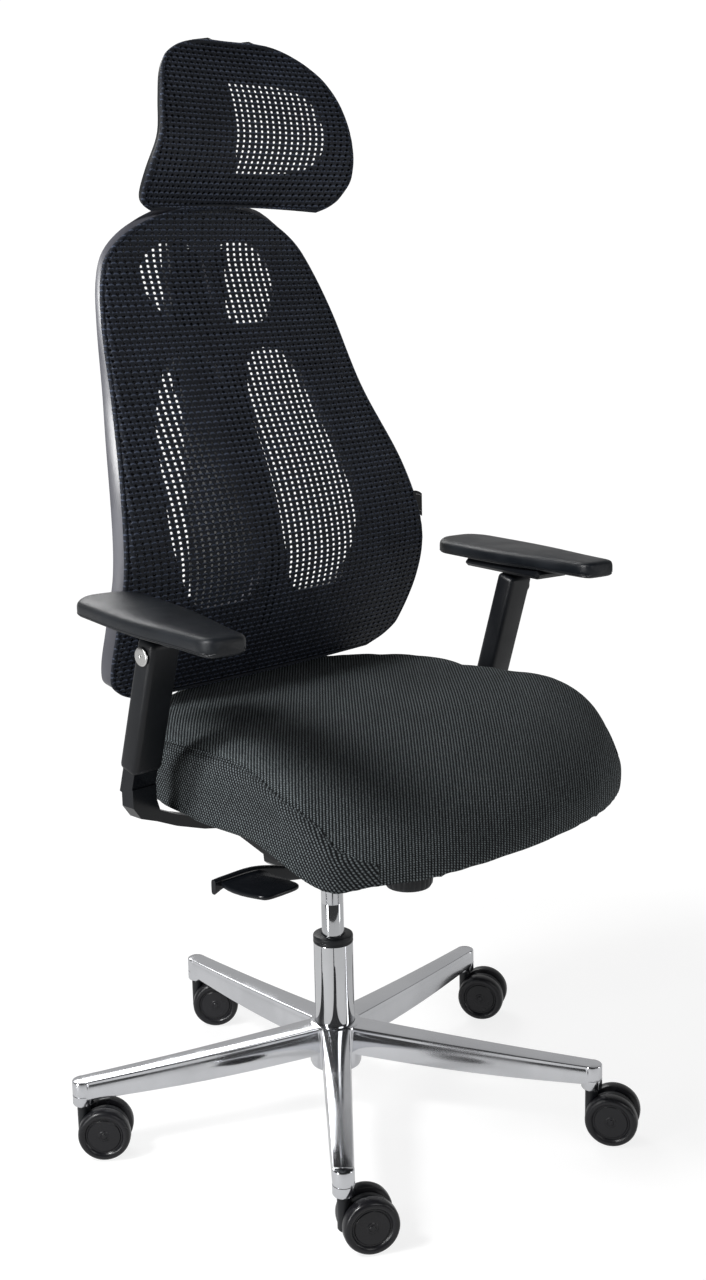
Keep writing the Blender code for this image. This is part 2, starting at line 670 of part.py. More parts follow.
def seat_under(u, v):
    """Height of the cushion's underside."""
    front = smooth_step((-v - 0.25) / 0.65)
    return SEAT_BASE + SIDE_LIFT * abs(u) ** 2.5 * (1 - 0.75 * front) - FRONT_DROOP * front * (0.35 +
            0.45 * u * u)


def seat_over(u, v):
    """Height of the cushion's upper side, without its rounded rim."""
    front = max(0.0, -v - 0.25) / 0.75
    rear = max(0.0, v - 0.55) / 0.45
    return SEAT_TOP - 0.004 * u * u - 0.062 * front ** 2.4 - 0.004 * rear ** 2


def rim(value, power=6):
    return (1.0 - abs(value) ** power)


def make_seat(lift):
    tilt = pivot("seat_tilt", (0, *SEAT_PIVOT), lift)
    plate_low = PLATE_TOP - PLATE_THICKNESS
    plate = add("seat_plate", block_mesh("seat_plate", (PLATE_WIDTH, 0.250, PLATE_THICKNESS)), steel(),
                tilt,
                (0, 0.005, PLATE_TOP - PLATE_THICKNESS / 2))
    ear_x = HOUSING_WIDTH / 2 + 0.002 + EAR_THICKNESS / 2
    ear_low = SEAT_PIVOT[1] - 0.012
    for side, word in ((-1, "right"), (1, "left")):
        ear = add(f"plate_ear_{word}", block_mesh("ear", (EAR_THICKNESS, 0.020,
                                                          plate_low + 0.003 - ear_low)), steel(),
                  tilt, (side * ear_x, SEAT_PIVOT[0], (plate_low + 0.003 + ear_low) / 2))
        combine(plate, ear, 'UNION')
    bore = add("ear_bore", rod_mesh("ear_bore", PIVOT_PIN_R + GAP, HOUSING_WIDTH + 0.03, 16), steel(), tilt,
               (0, *SEAT_PIVOT), (0, math.pi / 2, 0))
    combine(plate, bore)

    def cushion_form(u, v, w):
        edge = (rim(u, 4) * rim(v, 4)) ** 0.5
        x, y = seat_plan(u, v)
        low, high = seat_under(u, v), seat_over(u, v)
        pull = 1.0 - (1.0 - CUSHION_TUCK) * abs(w) ** 3
        rounded = high - 0.010 * (1 - edge)
        return Vector((x * pull, y * pull, low + (rounded - low) * (w + 1) / 2))

    add("seat_cushion", shaped_mesh("seat_cushion", 9, cushion_form), seat_fabric(), tilt)

    def pan_form(u, v, w):
        x, y = seat_plan(u * PAN_SHARE, v * PAN_SHARE)
        dip = PAN_FRONT_DIP * smooth_step((-0.25 - v) / 0.5)
        z = seat_under(u * PAN_SHARE, v * PAN_SHARE) - PAN_GAP - dip
        return Vector((x * CUSHION_TUCK, y * CUSHION_TUCK, z if w > 0 else z - PAN_THICKNESS))

    add("seat_pan", shaped_mesh("seat_pan", 7, pan_form), black_plastic(), tilt)
    return tilt


# ---------------------------------------------------------------- backrest
def back_surface(u, v):
    """A point of the back's front face; u and v run from -1 to 1."""
    share = (v + 1) / 2
    half = BACK_WIDTH / 2 * read_stations(BACK_STATIONS, share, 1)
    y = BACK_FRONT_Y + read_stations(BACK_STATIONS, share, 2)
    return Vector((u * half, y - BACK_CROWN * (1 - u * u), BACK_BOTTOM + BACK_HEIGHT * share))


def back_depth(z):
    """y of the back's front face on the middle line."""
    return back_surface(0.0, 2 * (z - BACK_BOTTOM) / BACK_HEIGHT - 1).y


def shell_depth(z):
    """The shell is thinner towards its top."""
    share = (z - BACK_BOTTOM) / BACK_HEIGHT
    return SHELL_THICKNESS - (SHELL_THICKNESS - SHELL_TOP_THICKNESS) * smooth_step((share - 0.45) / 0.35)


def make_back_bar(lift):
    tilt = pivot("back_tilt", (0, *BACK_PIVOT), lift)
    half = BLADE_THICKNESS / 2
    behind = SEAT_BACK + BAR_BEHIND_SEAT
    blade_low = BACK_BOTTOM + 0.045
    line = [(0.092, 0.3705), (0.150, 0.376), (behind - 0.030, 0.388), (behind - 0.008, 0.404),
            (behind, 0.430),
            (behind, BACK_BOTTOM - 0.045), (behind - 0.007, BACK_BOTTOM - 0.018),
            (BLADE_Y + 0.042, BACK_BOTTOM + 0.006), (BLADE_Y + 0.013, BACK_BOTTOM + 0.024), (BLADE_Y,
                    blade_low),
            (BLADE_Y, BACK_BOTTOM + BLADE_TOP)]
    near, far = [], []
    for i, spot in enumerate(line):
        before, after = line[max(i - 1, 0)], line[min(i + 1, len(line) - 1)]
        along = Vector((after[0] - before[0], after[1] - before[1])).normalized()
        near.append((spot[0] - along.y * half, spot[1] + along.x * half))
        far.append((spot[0] + along.y * half, spot[1] - along.x * half))
    outline = far + near[::-1]
    stand = (math.pi / 2, 0, math.pi / 2)
    bar = add("back_bar", outline_mesh("back_bar", outline, BLADE_WIDTH), black_casting(), tilt,
              (0, 0, 0), stand)
    yoke = add("bar_yoke", block_mesh("yoke", (HOUSING_WIDTH + 0.018, 0.022, 0.010)), black_casting(), tilt,
               (0, 0.105, 0.3715))
    combine(bar, yoke, 'UNION')
    py, pz = BACK_PIVOT
    cheek_outline = [(py - 0.011, pz - 0.006), (py - 0.004, pz - 0.012), (py + 0.010, pz - 0.011),
                     (0.118, 0.365),
                     (0.118, 0.378), (0.080, 0.378), (py + 0.006, pz + 0.012), (py - 0.006, pz + 0.011),
                     (py - 0.012, pz + 0.004)]
    for side, word in ((-1, "right"), (1, "left")):
        cheek = add(f"bar_cheek_{word}", outline_mesh("cheek", cheek_outline, 0.009), black_casting(), tilt,
                    (side * (HOUSING_WIDTH / 2 + 0.0075), 0, 0), stand)
        combine(bar, cheek, 'UNION')
    bore = add("cheek_bore", rod_mesh("cheek_bore", PIVOT_PIN_R + GAP, HOUSING_WIDTH + 0.05, 16),
               black_casting(),
               tilt, (0, *BACK_PIVOT), (0, math.pi / 2, 0))
    combine(bar, bore)
    return tilt


def window_cutter(name, corners, parent):
    mesh = outline_mesh(name, rounded_outline(corners), 0.30)
    return add(name, mesh, black_plastic(), parent, (0, 0.15, 0), (math.pi / 2, 0, 0))


def make_back(tilt):
    slide = pivot("back_height", (0, BLADE_Y, BACK_BOTTOM + SPINE_LOW), tilt)
    skin = MESH_THICKNESS + 0.001

    def shell_form(u, v):
        return back_surface(u, v) + Vector((0, skin, 0))

    shell = add("back_shell", sheet_mesh("back_shell", 10, 18, shell_form, shell_depth),
                black_plastic(), slide)

    low, tall = BACK_BOTTOM, BACK_HEIGHT
    lower = [(0.036, low + 0.170 * tall), (0.135, low + 0.190 * tall), (0.160, low + 0.320 * tall),
             (0.150, low + 0.560 * tall), (0.130, low + 0.690 * tall), (0.050, low + 0.685 * tall),
             (0.012, low + 0.470 * tall), (0.016, low + 0.280 * tall)]
    upper = [(0.012, low + 0.755 * tall), (0.080, low + 0.760 * tall), (0.108, low + 0.850 * tall),
             (0.086, low + 0.925 * tall), (0.012, low + 0.930 * tall)]
    for side, word in ((-1, "right"), (1, "left")):
        for label, corners in (("lower", lower), ("upper", upper)):
            if side < 0:
                corners = [(-x, z) for x, z in reversed(corners)]
            combine(shell, window_cutter(f"{label}_window_{word}", corners, slide))

    def column_form(foot, head, front, width, rear, sunk):
        def form(u, v, w):
            z = foot + (head - foot) * (w + 1) / 2
            y = back_depth(z) + skin + shell_depth(z) * sunk
            t = (v + 1) / 2
            half = front + (width - front) * t
            return Vector((u * half / 2, y + (rear - y) * t, z))
        return form

    spine = add("shell_spine", shaped_mesh("spine", 7, column_form(
        BACK_BOTTOM + SPINE_LOW, BACK_BOTTOM + SPINE_HIGH * BACK_HEIGHT, SPINE_FRONT_WIDTH, SPINE_WIDTH,
                SPINE_BACK, 0.5)),
        black_plastic(), slide)
    combine(shell, spine, 'UNION')
    guide_width = 2 * POST_X + POST_WIDTH + 0.020
    guide_back = POST_Y + POST_THICKNESS / 2 + 0.006
    guide = add("post_guide", shaped_mesh("guide", 1, column_form(
        BACK_TOP - 0.190, BACK_TOP - 0.145, SPINE_FRONT_WIDTH + 0.010, guide_width, guide_back, 0.7)),
                black_plastic(),
        slide)
    combine(shell, guide, 'UNION')
    slot_top = BACK_BOTTOM + BLADE_TOP + 0.004
    slot = add("blade_slot", block_mesh("slot", (BLADE_WIDTH + 2 * RUN, BLADE_THICKNESS + 2 * RUN, 0.300)),
               black_plastic(), slide, (0, BLADE_Y, slot_top - 0.150))
    combine(shell, slot)
    for side, word in ((-1, "right"), (1, "left")):
        hole = add(f"post_slot_{word}", block_mesh("post_slot",
                                                   (POST_WIDTH + 2 * RUN, POST_THICKNESS + 2 * RUN, 0.2)),
                   black_plastic(), slide, (side * POST_X, POST_Y, BACK_TOP - 0.165))
        combine(shell, hole)
    add("back_mesh", sheet_mesh("back_mesh", 10, 18, back_surface, lambda z: MESH_THICKNESS),
        back_knit(), slide)
    return slide


# ---------------------------------------------------------------- headrest
def head_surface(u, v):
    share = (v + 1) / 2
    half = HEAD_WIDTH / 2 * read_stations(HEAD_STATIONS, share, 1)
    y = HEAD_FRONT_Y + read_stations(HEAD_STATIONS, share, 2)
    z = HEAD_BOTTOM + HEAD_HEIGHT * share - HEAD_SAG * u * u * (1 - share) ** 2
    return Vector((u * half, y + HEAD_HOLLOW * (1 - u * u) * (1 - share * 0.8), z))


def make_headrest(slide):
    lift = pivot("headrest_height", (0, POST_Y, BACK_TOP - 0.060), slide)
    pivot_z = HEAD_BOTTOM + HEAD_PIVOT_UP
    low = BACK_TOP - 0.225
    post_top = pivot_z - 0.018
    carrier = add("headrest_carrier", block_mesh("carrier_bar",
                                                 (2 * POST_X + POST_WIDTH - 0.003,
                                                  POST_THICKNESS - 0.001, 0.030)),
                  black_plastic(), lift, (0, POST_Y, post_top + 0.012))
    for side, word in ((-1, "right"), (1, "left")):
        post = add(f"carrier_post_{word}", block_mesh("post", (POST_WIDTH, POST_THICKNESS, post_top - low)),
                   black_plastic(), lift, (side * POST_X, POST_Y, (post_top + low) / 2))
        combine(carrier, post, 'UNION')
    barrel = add("carrier_barrel", rod_mesh("barrel", 0.0095, 0.044, 20), black_plastic(), lift,
                 (0, HEAD_PIVOT_Y, pivot_z), (0, math.pi / 2, 0))
    combine(carrier, barrel, 'UNION')
    reach = POST_Y - HEAD_PIVOT_Y
    arm = add("carrier_arm", block_mesh("carrier_arm", (0.040, reach, 0.014)), black_plastic(), lift,
              (0, HEAD_PIVOT_Y + reach / 2, pivot_z))
    combine(carrier, arm, 'UNION')
    bore = add("barrel_bore", rod_mesh("barrel_bore", PIVOT_PIN_R + GAP, 0.08, 16), black_plastic(), lift,
               (0, HEAD_PIVOT_Y, pivot_z), (0, math.pi / 2, 0))
    combine(carrier, bore)
    add("headrest_pin", rod_mesh("headrest_pin", PIVOT_PIN_R, 0.068, 16), steel(), lift,
        (0, HEAD_PIVOT_Y, pivot_z), (0, math.pi / 2, 0))

    tilt = pivot("headrest_tilt", (0, HEAD_PIVOT_Y, pivot_z), lift)
    skin = MESH_THICKNESS + 0.0005
    thickness = 0.006
    shell = add("headrest_shell", sheet_mesh("headrest_shell", 10, 8, lambda u, v: head_surface(u, v)
                + Vector((0, skin, 0)), lambda z: thickness), black_plastic(), tilt)
    front = head_surface(0.0, 2 * HEAD_PIVOT_UP / HEAD_HEIGHT - 1).y + skin + thickness / 2
    for side, word in ((-1, "right"), (1, "left")):
        lug = add(f"head_lug_{word}", block_mesh("lug", (0.008, HEAD_PIVOT_Y + 0.009 - front, 0.020)),
                  black_plastic(),
                  tilt, (side * 0.0268, (front + HEAD_PIVOT_Y + 0.009) / 2, pivot_z))
        combine(shell, lug, 'UNION')
        corners = [(0.040, HEAD_BOTTOM + 0.040), (0.112, HEAD_BOTTOM + 0.050), (0.106, HEAD_BOTTOM + 0.112),
                   (0.078, HEAD_BOTTOM + 0.146), (0.040, HEAD_BOTTOM + 0.152)]
        if side < 0:
            corners = [(-x, z) for x, z in reversed(corners)]
        combine(shell, window_cutter(f"head_window_{word}", corners, tilt))
    hole = add("lug_bore", rod_mesh("lug_bore", PIVOT_PIN_R + GAP, 0.08, 16), black_plastic(), tilt,
               (0, HEAD_PIVOT_Y, pivot_z), (0, math.pi / 2, 0))
    combine(shell, hole)
    add("headrest_mesh", sheet_mesh("headrest_mesh", 10, 8, head_surface, lambda z: MESH_THICKNESS),
        back_knit(), tilt)


# ---------------------------------------------------------------- arms
def make_arm(tilt, side, word):
    """One arm; side is -1 on the sitter's right."""
    low_y, low_z = SLEEVE_LOW
    plate_low = PLATE_TOP - PLATE_THICKNESS
    half = BRACKET_THICKNESS / 2
    post_half = SLEEVE_WIDTH / 2 - SLEEVE_WALL - RUN
    line = [(0.070, plate_low - half - GAP), (0.140, plate_low - half - GAP), (ARM_X - 0.085, 0.4365),
            (ARM_X - 0.045, 0.4500), (ARM_X - 0.018, 0.4620)]
    under, over = [], []
    for i, spot in enumerate(line):
        before, after = line[max(i - 1, 0)], line[min(i + 1, len(line) - 1)]
        along = Vector((after[0] - before[0], after[1] - before[1])).normalized()
        over.append((spot[0] - along.y * half, spot[1] + along.x * half))
        under.append((spot[0] + along.y * half, spot[1] - along.x * half))
    outer, inner = ARM_X + post_half, ARM_X - post_half
    outline = under + [(outer - 0.010, 0.4640), (outer, 0.4780), (outer, low_z - 0.006),
                       (inner, low_z - 0.006),
                       (inner, 0.4820)] + over[::-1]
    if side < 0:
        outline = [(-x, z) for x, z in reversed(outline)]
    bracket = add(f"arm_bracket_{word}", outline_mesh(f"arm_bracket_{word}", outline, BRACKET_DEPTH),
                  black_casting(),
                  tilt, (0, low_y, 0), (math.pi / 2, 0, 0))
    lean = (ARM_LEAN, 0, 0)
    up = Vector((0, -math.sin(ARM_LEAN), math.cos(ARM_LEAN)))
    arm = 0 if side < 0 else 1
    foot = Vector((side * ARM_X, low_y, low_z))
    stem_length = ARM_RISE + 0.050
    stem = add(f"bracket_stem_{word}", block_mesh("stem", (2 * post_half, BRACKET_DEPTH, stem_length)),
               black_casting(),
               tilt, foot + up * (stem_length / 2 - 0.014), lean)
    combine(bracket, stem, 'UNION')

    foot = foot + up * ARM_NOTCH[arm]
    slide = pivot(f"arm_height_{word}", foot, tilt, lean)
    room = SLEEVE_WALL * 2
    sleeve = add(f"arm_sleeve_{word}", block_mesh(f"arm_sleeve_{word}",
                                                  (SLEEVE_WIDTH, SLEEVE_DEPTH, SLEEVE_LENGTH)),
                 black_plastic(), slide, (0, 0, SLEEVE_LENGTH / 2), local=True)
    bevel(sleeve, 0.003, 1, 60)
    cavity = add(f"sleeve_cavity_{word}", block_mesh("cavity",
                                                     (SLEEVE_WIDTH - room, SLEEVE_DEPTH - room,
                                                      SLEEVE_LENGTH)),
                 black_plastic(), slide, (0, 0, SLEEVE_LENGTH / 2 - 0.006), local=True)
    combine(sleeve, cavity)
    hole = add(f"button_hole_{word}", rod_mesh("button_hole", BUTTON_R * 0.72 + RUN, 0.020, 20),
               black_plastic(), slide,
               (side * SLEEVE_WIDTH / 2, 0, BUTTON_UP), (0, math.pi / 2, 0), local=True)
    combine(sleeve, hole)
    button_axis = -side * math.pi / 2
    face = SLEEVE_WIDTH / 2 + BUTTON_TRAVEL + 0.0002
    turned(f"arm_button_{word}", [
        (0.0, 0.0030), (0.0020, 0.0030), (0.0024, 0.0014), (BUTTON_R - 0.0015, 0.0014), (BUTTON_R, 0.0),
        (BUTTON_R * 0.72, 0.0), (BUTTON_R * 0.72, -0.0045), (0.0, -0.0045)], chrome(), slide,
        (side * face, 0, BUTTON_UP), steps=20, rotation=(0, -button_axis, 0), local=True)

    top = foot + up * SLEEVE_LENGTH
    swivel_z = top.z + 0.003
    swivel = pivot(f"pad_swivel_{word}", (side * ARM_X, top.y, swivel_z), tilt)
    base_low = 0.0015
    base_middle = base_low + PAD_BASE_THICKNESS / 2
    turn = (0, 0, math.radians(PAD_TURNS[arm]))
    base = add(f"pad_base_{word}", block_mesh(f"pad_base_{word}",
                                              (PAD_WIDTH * 0.62, 0.150, PAD_BASE_THICKNESS)),
               black_plastic(), swivel, (0, 0, base_middle), turn, local=True)
    bevel(base, 0.004, 1, 60)

    def pad_form(u, v, w):
        share = (v + 1) / 2
        width = PAD_WIDTH * (0.80 + 0.20 * smooth_step(share * 1.6)) * (1 - 0.10 * max(0.0,
                share - 0.7) / 0.3)
        ends = (1 - abs(v) ** 8) ** 0.35 if abs(v) < 1 else 0.0
        half_width = width / 2 * (0.72 + 0.28 * ends)
        y = PAD_REARS[arm] - PAD_LENGTH * (1 - share) + 0.016 * u * u * (-v) * (abs(v) ** 6)
        crown = 0.0035 * (1 - u ** 4) if w > 0 else 0.0
        trim = 1.0 if w > 0 else 0.95
        z = base_low + PAD_BASE_THICKNESS + GAP + PAD_THICKNESS * (w + 1) / 2 + crown - 0.0035 * (w > 0)
        return Vector((PAD_INSETS[arm] + u * half_width * trim, y, z))

    add(f"arm_pad_{word}", shaped_mesh(f"arm_pad_{word}", 3, pad_form), arm_foam(), swivel, (0, 0, 0),
        turn, local=True)


# ---------------------------------------------------------------- the chair
def build():
    global CHAIR, CUTTERS
    clear_scene()
    CHAIR = bpy.data.collections.new("swivel_office_chair")
    CUTTERS = bpy.data.collections.new("cutters")
    bpy.context.scene.collection.children.link(CHAIR)
    bpy.context.scene.collection.children.link(CUTTERS)
    root = pivot("chair", (0, 0, 0))
    root.location = (COLUMN_X, COLUMN_Y, 0.0)
    make_base(root)
    for k in range(STAR_COUNT):
        make_castor(root, k)
    lift = make_column(root)
    make_mechanism(lift)
    tilt = make_seat(lift)
    make_arm(tilt, -1, "right")
    make_arm(tilt, 1, "left")
    slide = make_back(make_back_bar(lift))
    make_headrest(slide)


build()
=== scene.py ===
"""Looks of the swivel office chair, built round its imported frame."""
import json
import math

import bpy
from mathutils import Matrix, Vector
from mathutils.bvhtree import BVHTree


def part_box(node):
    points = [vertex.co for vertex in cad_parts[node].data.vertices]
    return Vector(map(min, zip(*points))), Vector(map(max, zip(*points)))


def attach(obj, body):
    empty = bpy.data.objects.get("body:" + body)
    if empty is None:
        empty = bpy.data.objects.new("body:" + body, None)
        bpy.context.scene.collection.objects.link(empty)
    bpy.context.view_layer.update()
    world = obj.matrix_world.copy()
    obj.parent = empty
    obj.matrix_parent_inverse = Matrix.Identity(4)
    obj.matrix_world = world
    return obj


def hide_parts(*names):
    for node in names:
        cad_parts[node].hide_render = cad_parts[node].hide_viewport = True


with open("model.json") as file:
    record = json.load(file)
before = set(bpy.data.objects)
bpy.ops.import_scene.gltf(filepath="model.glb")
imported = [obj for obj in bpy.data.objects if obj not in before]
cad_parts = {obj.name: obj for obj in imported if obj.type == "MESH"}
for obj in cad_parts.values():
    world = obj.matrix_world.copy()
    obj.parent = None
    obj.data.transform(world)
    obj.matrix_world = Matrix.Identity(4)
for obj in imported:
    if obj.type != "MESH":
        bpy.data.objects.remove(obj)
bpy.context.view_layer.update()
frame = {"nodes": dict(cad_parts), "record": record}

bl_info = {
    "name": "Swivel office chair",
    "version": (1, 0, 0),
    "blender": (4, 5, 0),
    "location": "3D View > Sidebar > Chair",
    "description": "Builds the visible pieces of a mesh-backed swivel chair on its fixed frame",
    "category": "Object",
}

JOINTS = {joint["name"]: joint for joint in frame["record"]["behaviour"]["joints"]}
COLUMN = Vector((*JOINTS["chair_swivel"]["pos_m"][:2], 0.0))

# (share of the height, share of the half width, y behind the foremost point)
BACK_STATIONS = (
    (0.000, 0.780, 0.056), (0.020, 0.890, 0.051), (0.050, 0.962, 0.043), (0.170, 1.000, 0.013), (0.280,
            0.984, 0.000),
    (0.420, 0.924, 0.018), (0.600, 0.810, 0.064), (0.770, 0.740, 0.100), (0.880, 0.655, 0.121),
    (0.930, 0.555, 0.123), (0.970, 0.385, 0.119), (0.992, 0.200, 0.114), (1.000, 0.060, 0.112))
HEAD_STATIONS = (
    (0.000, 0.830, 0.047), (0.030, 0.920, 0.041), (0.080, 0.975, 0.030), (0.200, 1.000, 0.012),
    (0.400, 0.940, 0.000), (0.620, 0.880, 0.008), (0.780, 0.795, 0.022), (0.880, 0.690, 0.035),
    (0.940, 0.570, 0.042), (0.975, 0.450, 0.045), (0.993, 0.330, 0.046), (1.000, 0.200, 0.046))
BACK_LOW, BACK_TALL, BACK_HALF, BACK_FRONT = 0.558, 0.573, 0.249, 0.066
HEAD_LOW, HEAD_TALL, HEAD_HALF, HEAD_FRONT = 1.132, 0.185, 0.159, 0.087
STAR_TURN = math.radians(10.9)
STEM_CIRCLE = 0.327
WHEEL_OUT = 0.0170
SEAT_FRONT, SEAT_LONG, SEAT_HALF = -0.330, 0.528, 0.263
KNIT_THICK = 0.0009
MERGE = 0.00001


# ---------------------------------------------------------------- what a user may change
class ChairSizes(bpy.types.PropertyGroup):
    """Sizes of details that the frame leaves free."""
    hole_across: bpy.props.FloatProperty(
        name="Hole spacing across", description="Distance between holes of the knit, across the back",
        default=0.0105, unit='LENGTH')
    hole_up: bpy.props.FloatProperty(
        name="Hole spacing up", description="Distance between holes of the knit, up the back",
        default=0.0063, unit='LENGTH')
    rib: bpy.props.FloatProperty(
        name="Rib spacing", description="Distance between the ribs of the seat cover", default=0.0034,
                unit='LENGTH')
    piping: bpy.props.FloatProperty(
        name="Piping radius", description="Radius of the cord sewn round the knit", default=0.0027,
                unit='LENGTH')
    swell: bpy.props.FloatProperty(
        name="Cushion swell", description="How far the filling may push the seat cover out", default=0.008,
        unit='LENGTH')


class ChairColours(bpy.types.PropertyGroup):
    """Colours of the chair's finishes."""
    seat_thread: bpy.props.FloatVectorProperty(
        name="Seat thread", description="Raised threads of the seat cover", subtype='COLOR', size=3,
        default=(0.270, 0.310, 0.325), min=0.0, max=1.0)
    seat_ground: bpy.props.FloatVectorProperty(
        name="Seat ground", description="Ground between the threads of the seat cover", subtype='COLOR',
                size=3,
        default=(0.0022, 0.0032, 0.0042), min=0.0, max=1.0)
    knit: bpy.props.FloatVectorProperty(
        name="Knit", description="Knit of the back and headrest", subtype='COLOR', size=3,
        default=(0.012, 0.015, 0.023), min=0.0, max=1.0)
    plastic: bpy.props.FloatVectorProperty(
        name="Plastic", description="Moulded plastic", subtype='COLOR', size=3, default=(0.005, 0.006, 0.008),
        min=0.0, max=1.0)
    frame_rim: bpy.props.FloatVectorProperty(
        name="Back frame", description="Satin frame behind the knit", subtype='COLOR', size=3,
        default=(0.085, 0.086, 0.100), min=0.0, max=1.0)
    floor: bpy.props.FloatVectorProperty(
        name="Floor", description="Studio floor", subtype='COLOR', size=3, default=(0.93, 0.93, 0.93),
        min=0.0, max=1.0)


def sizes():
    return bpy.context.scene.chair_sizes


def colours():
    return bpy.context.scene.chair_colours


# ---------------------------------------------------------------- shader node groups
def new_group(name, inputs, outputs):
    group = bpy.data.node_groups.new(name, 'ShaderNodeTree')
    for label, default in inputs:
        socket = group.interface.new_socket(name=label, in_out='INPUT', socket_type='NodeSocketFloat')
        socket.default_value = default
    for label in outputs:
        group.interface.new_socket(name=label, in_out='OUTPUT', socket_type='NodeSocketFloat')
    entry = group.nodes.new('NodeGroupInput')
    leave = group.nodes.new('NodeGroupOutput')
    return group, entry, leave


class Wiring:
    """Short words for wiring nodes of one tree."""

    def __init__(self, tree):
        self.tree = tree

    def node(self, kind, **settings):
        made = self.tree.nodes.new(kind)
        for key, value in settings.items():
            setattr(made, key, value)
        return made

    def link(self, out, into):
        self.tree.links.new(out, into)

    def feed(self, socket, value):
        if isinstance(value, (int, float)):
            socket.default_value = value
        else:
            self.link(value, socket)

    def math(self, operation, a, b=0.0):
        made = self.node('ShaderNodeMath', operation=operation)
        self.feed(made.inputs[0], a)
        self.feed(made.inputs[1], b)
        return made.outputs[0]

    def times(self, a, b):
        return self.math('MULTIPLY', a, b)

    def plus(self, a, b):
        return self.math('ADD', a, b)

    def minus(self, a, b):
        return self.math('SUBTRACT', a, b)

    def ramp(self, value, low, high, to_low=0.0, to_high=1.0):
        made = self.node('ShaderNodeMapRange', interpolation_type='SMOOTHSTEP')
        self.feed(made.inputs[0], value)
        for i, number in enumerate((low, high, to_low, to_high)):
            self.feed(made.inputs[1 + i], number)
        return made.outputs[0]

    def noise(self, vector, scale, detail=3.0, rough=0.55):
        made = self.node('ShaderNodeTexNoise')
        self.link(vector, made.inputs['Vector'])
        self.feed(made.inputs['Scale'], scale)
        made.inputs['Detail'].default_value = detail
        made.inputs['Roughness'].default_value = rough
        return made.outputs[0]

    def place(self):
        return self.node('ShaderNodeTexCoord').outputs['Object']


def axes_of(wires):
    split = wires.node('ShaderNodeSeparateXYZ')
    wires.link(wires.place(), split.inputs[0])
    return split.outputs


def make_grain_group():
    """Fine moulded grain, with a slow change from handling."""
    group, entry, leave = new_group("moulded_grain", (("Scale", 900.0), ("Depth", 1.0)), ("Height",
            "Handling"))
    w = Wiring(group)
    fine = w.noise(w.place(), entry.outputs['Scale'], 2.0)
    w.link(w.times(fine, entry.outputs['Depth']), leave.inputs['Height'])
    w.link(w.ramp(w.noise(w.place(), 9.0, 4.0), 0.35, 0.70), leave.inputs['Handling'])
    return group


def make_knit_group():
    """Rows of small openings with a scale-like loop of yarn over each, the loops lighter by a painted
    highlight.
    """
    group, entry, leave = new_group(
        "open_knit", (("Across", 0.0105), ("Up", 0.0063), ("Wide", 0.235), ("Tall", 0.30)),
        ("Opening", "Height", "Yarn_highlight"))
    w = Wiring(group)
    x, _, z = axes_of(w)
    row = w.math('DIVIDE', z, entry.outputs['Up'])
    column = w.plus(w.math('DIVIDE', x, entry.outputs['Across']), 50.0)
    in_x = w.minus(w.math('FRACT', column), 0.5)
    in_z = w.minus(w.math('FRACT', row), 0.5)
    from_x = w.math('DIVIDE', w.math('ABSOLUTE', in_x), entry.outputs['Wide'])
    from_z = w.math('DIVIDE', w.math('ABSOLUTE', in_z), entry.outputs['Tall'])
    away = w.math('POWER', w.plus(w.math('POWER', from_x, 3.0), w.math('POWER', from_z, 3.0)), 0.3333)
    w.link(w.ramp(away, 0.90, 1.08, 1.0, 0.0), leave.inputs['Opening'])
    # every second row of loops stands half a loop aside
    aside = w.times(w.math('FLOOR', w.times(w.math('FRACT', w.times(
        w.plus(row, 0.35), 0.5)), 2.0)), 0.5)
    loop_x = w.minus(w.math('FRACT', w.plus(column, aside)), 0.5)
    loop_z = w.minus(w.math('FRACT', w.plus(row, 0.35)), 0.5)
    bow = w.minus(loop_z, w.times(w.times(loop_x, loop_x), -1.1))
    loop = w.times(w.ramp(w.math('ABSOLUTE', w.minus(bow, 0.14)), 0.02, 0.24, 1.0, 0.0),
                  w.ramp(w.math('ABSOLUTE', loop_x), 0.24, 0.46, 1.0, 0.0))
    fibre = w.noise(w.place(), 2200.0, 3.0, 0.7)
    ridge = w.plus(w.times(loop, 0.8), w.times(w.ramp(away, 0.8, 1.7), 0.35))
    w.link(w.plus(ridge, w.times(fibre, 0.22)), leave.inputs['Height'])
    # the loops are the knit's pattern; their lighter tone is a painted highlight, a crescent above each
    # opening
    lit = w.times(w.plus(w.times(loop, 0.85), 0.12), w.ramp(fibre, 0.3, 0.7, 0.55, 1.25))
    w.link(w.times(lit, w.ramp(w.noise(w.place(), 34.0), 0.3, 0.7, 0.75, 1.1)), leave.inputs['Yarn_highlight'])
    return group


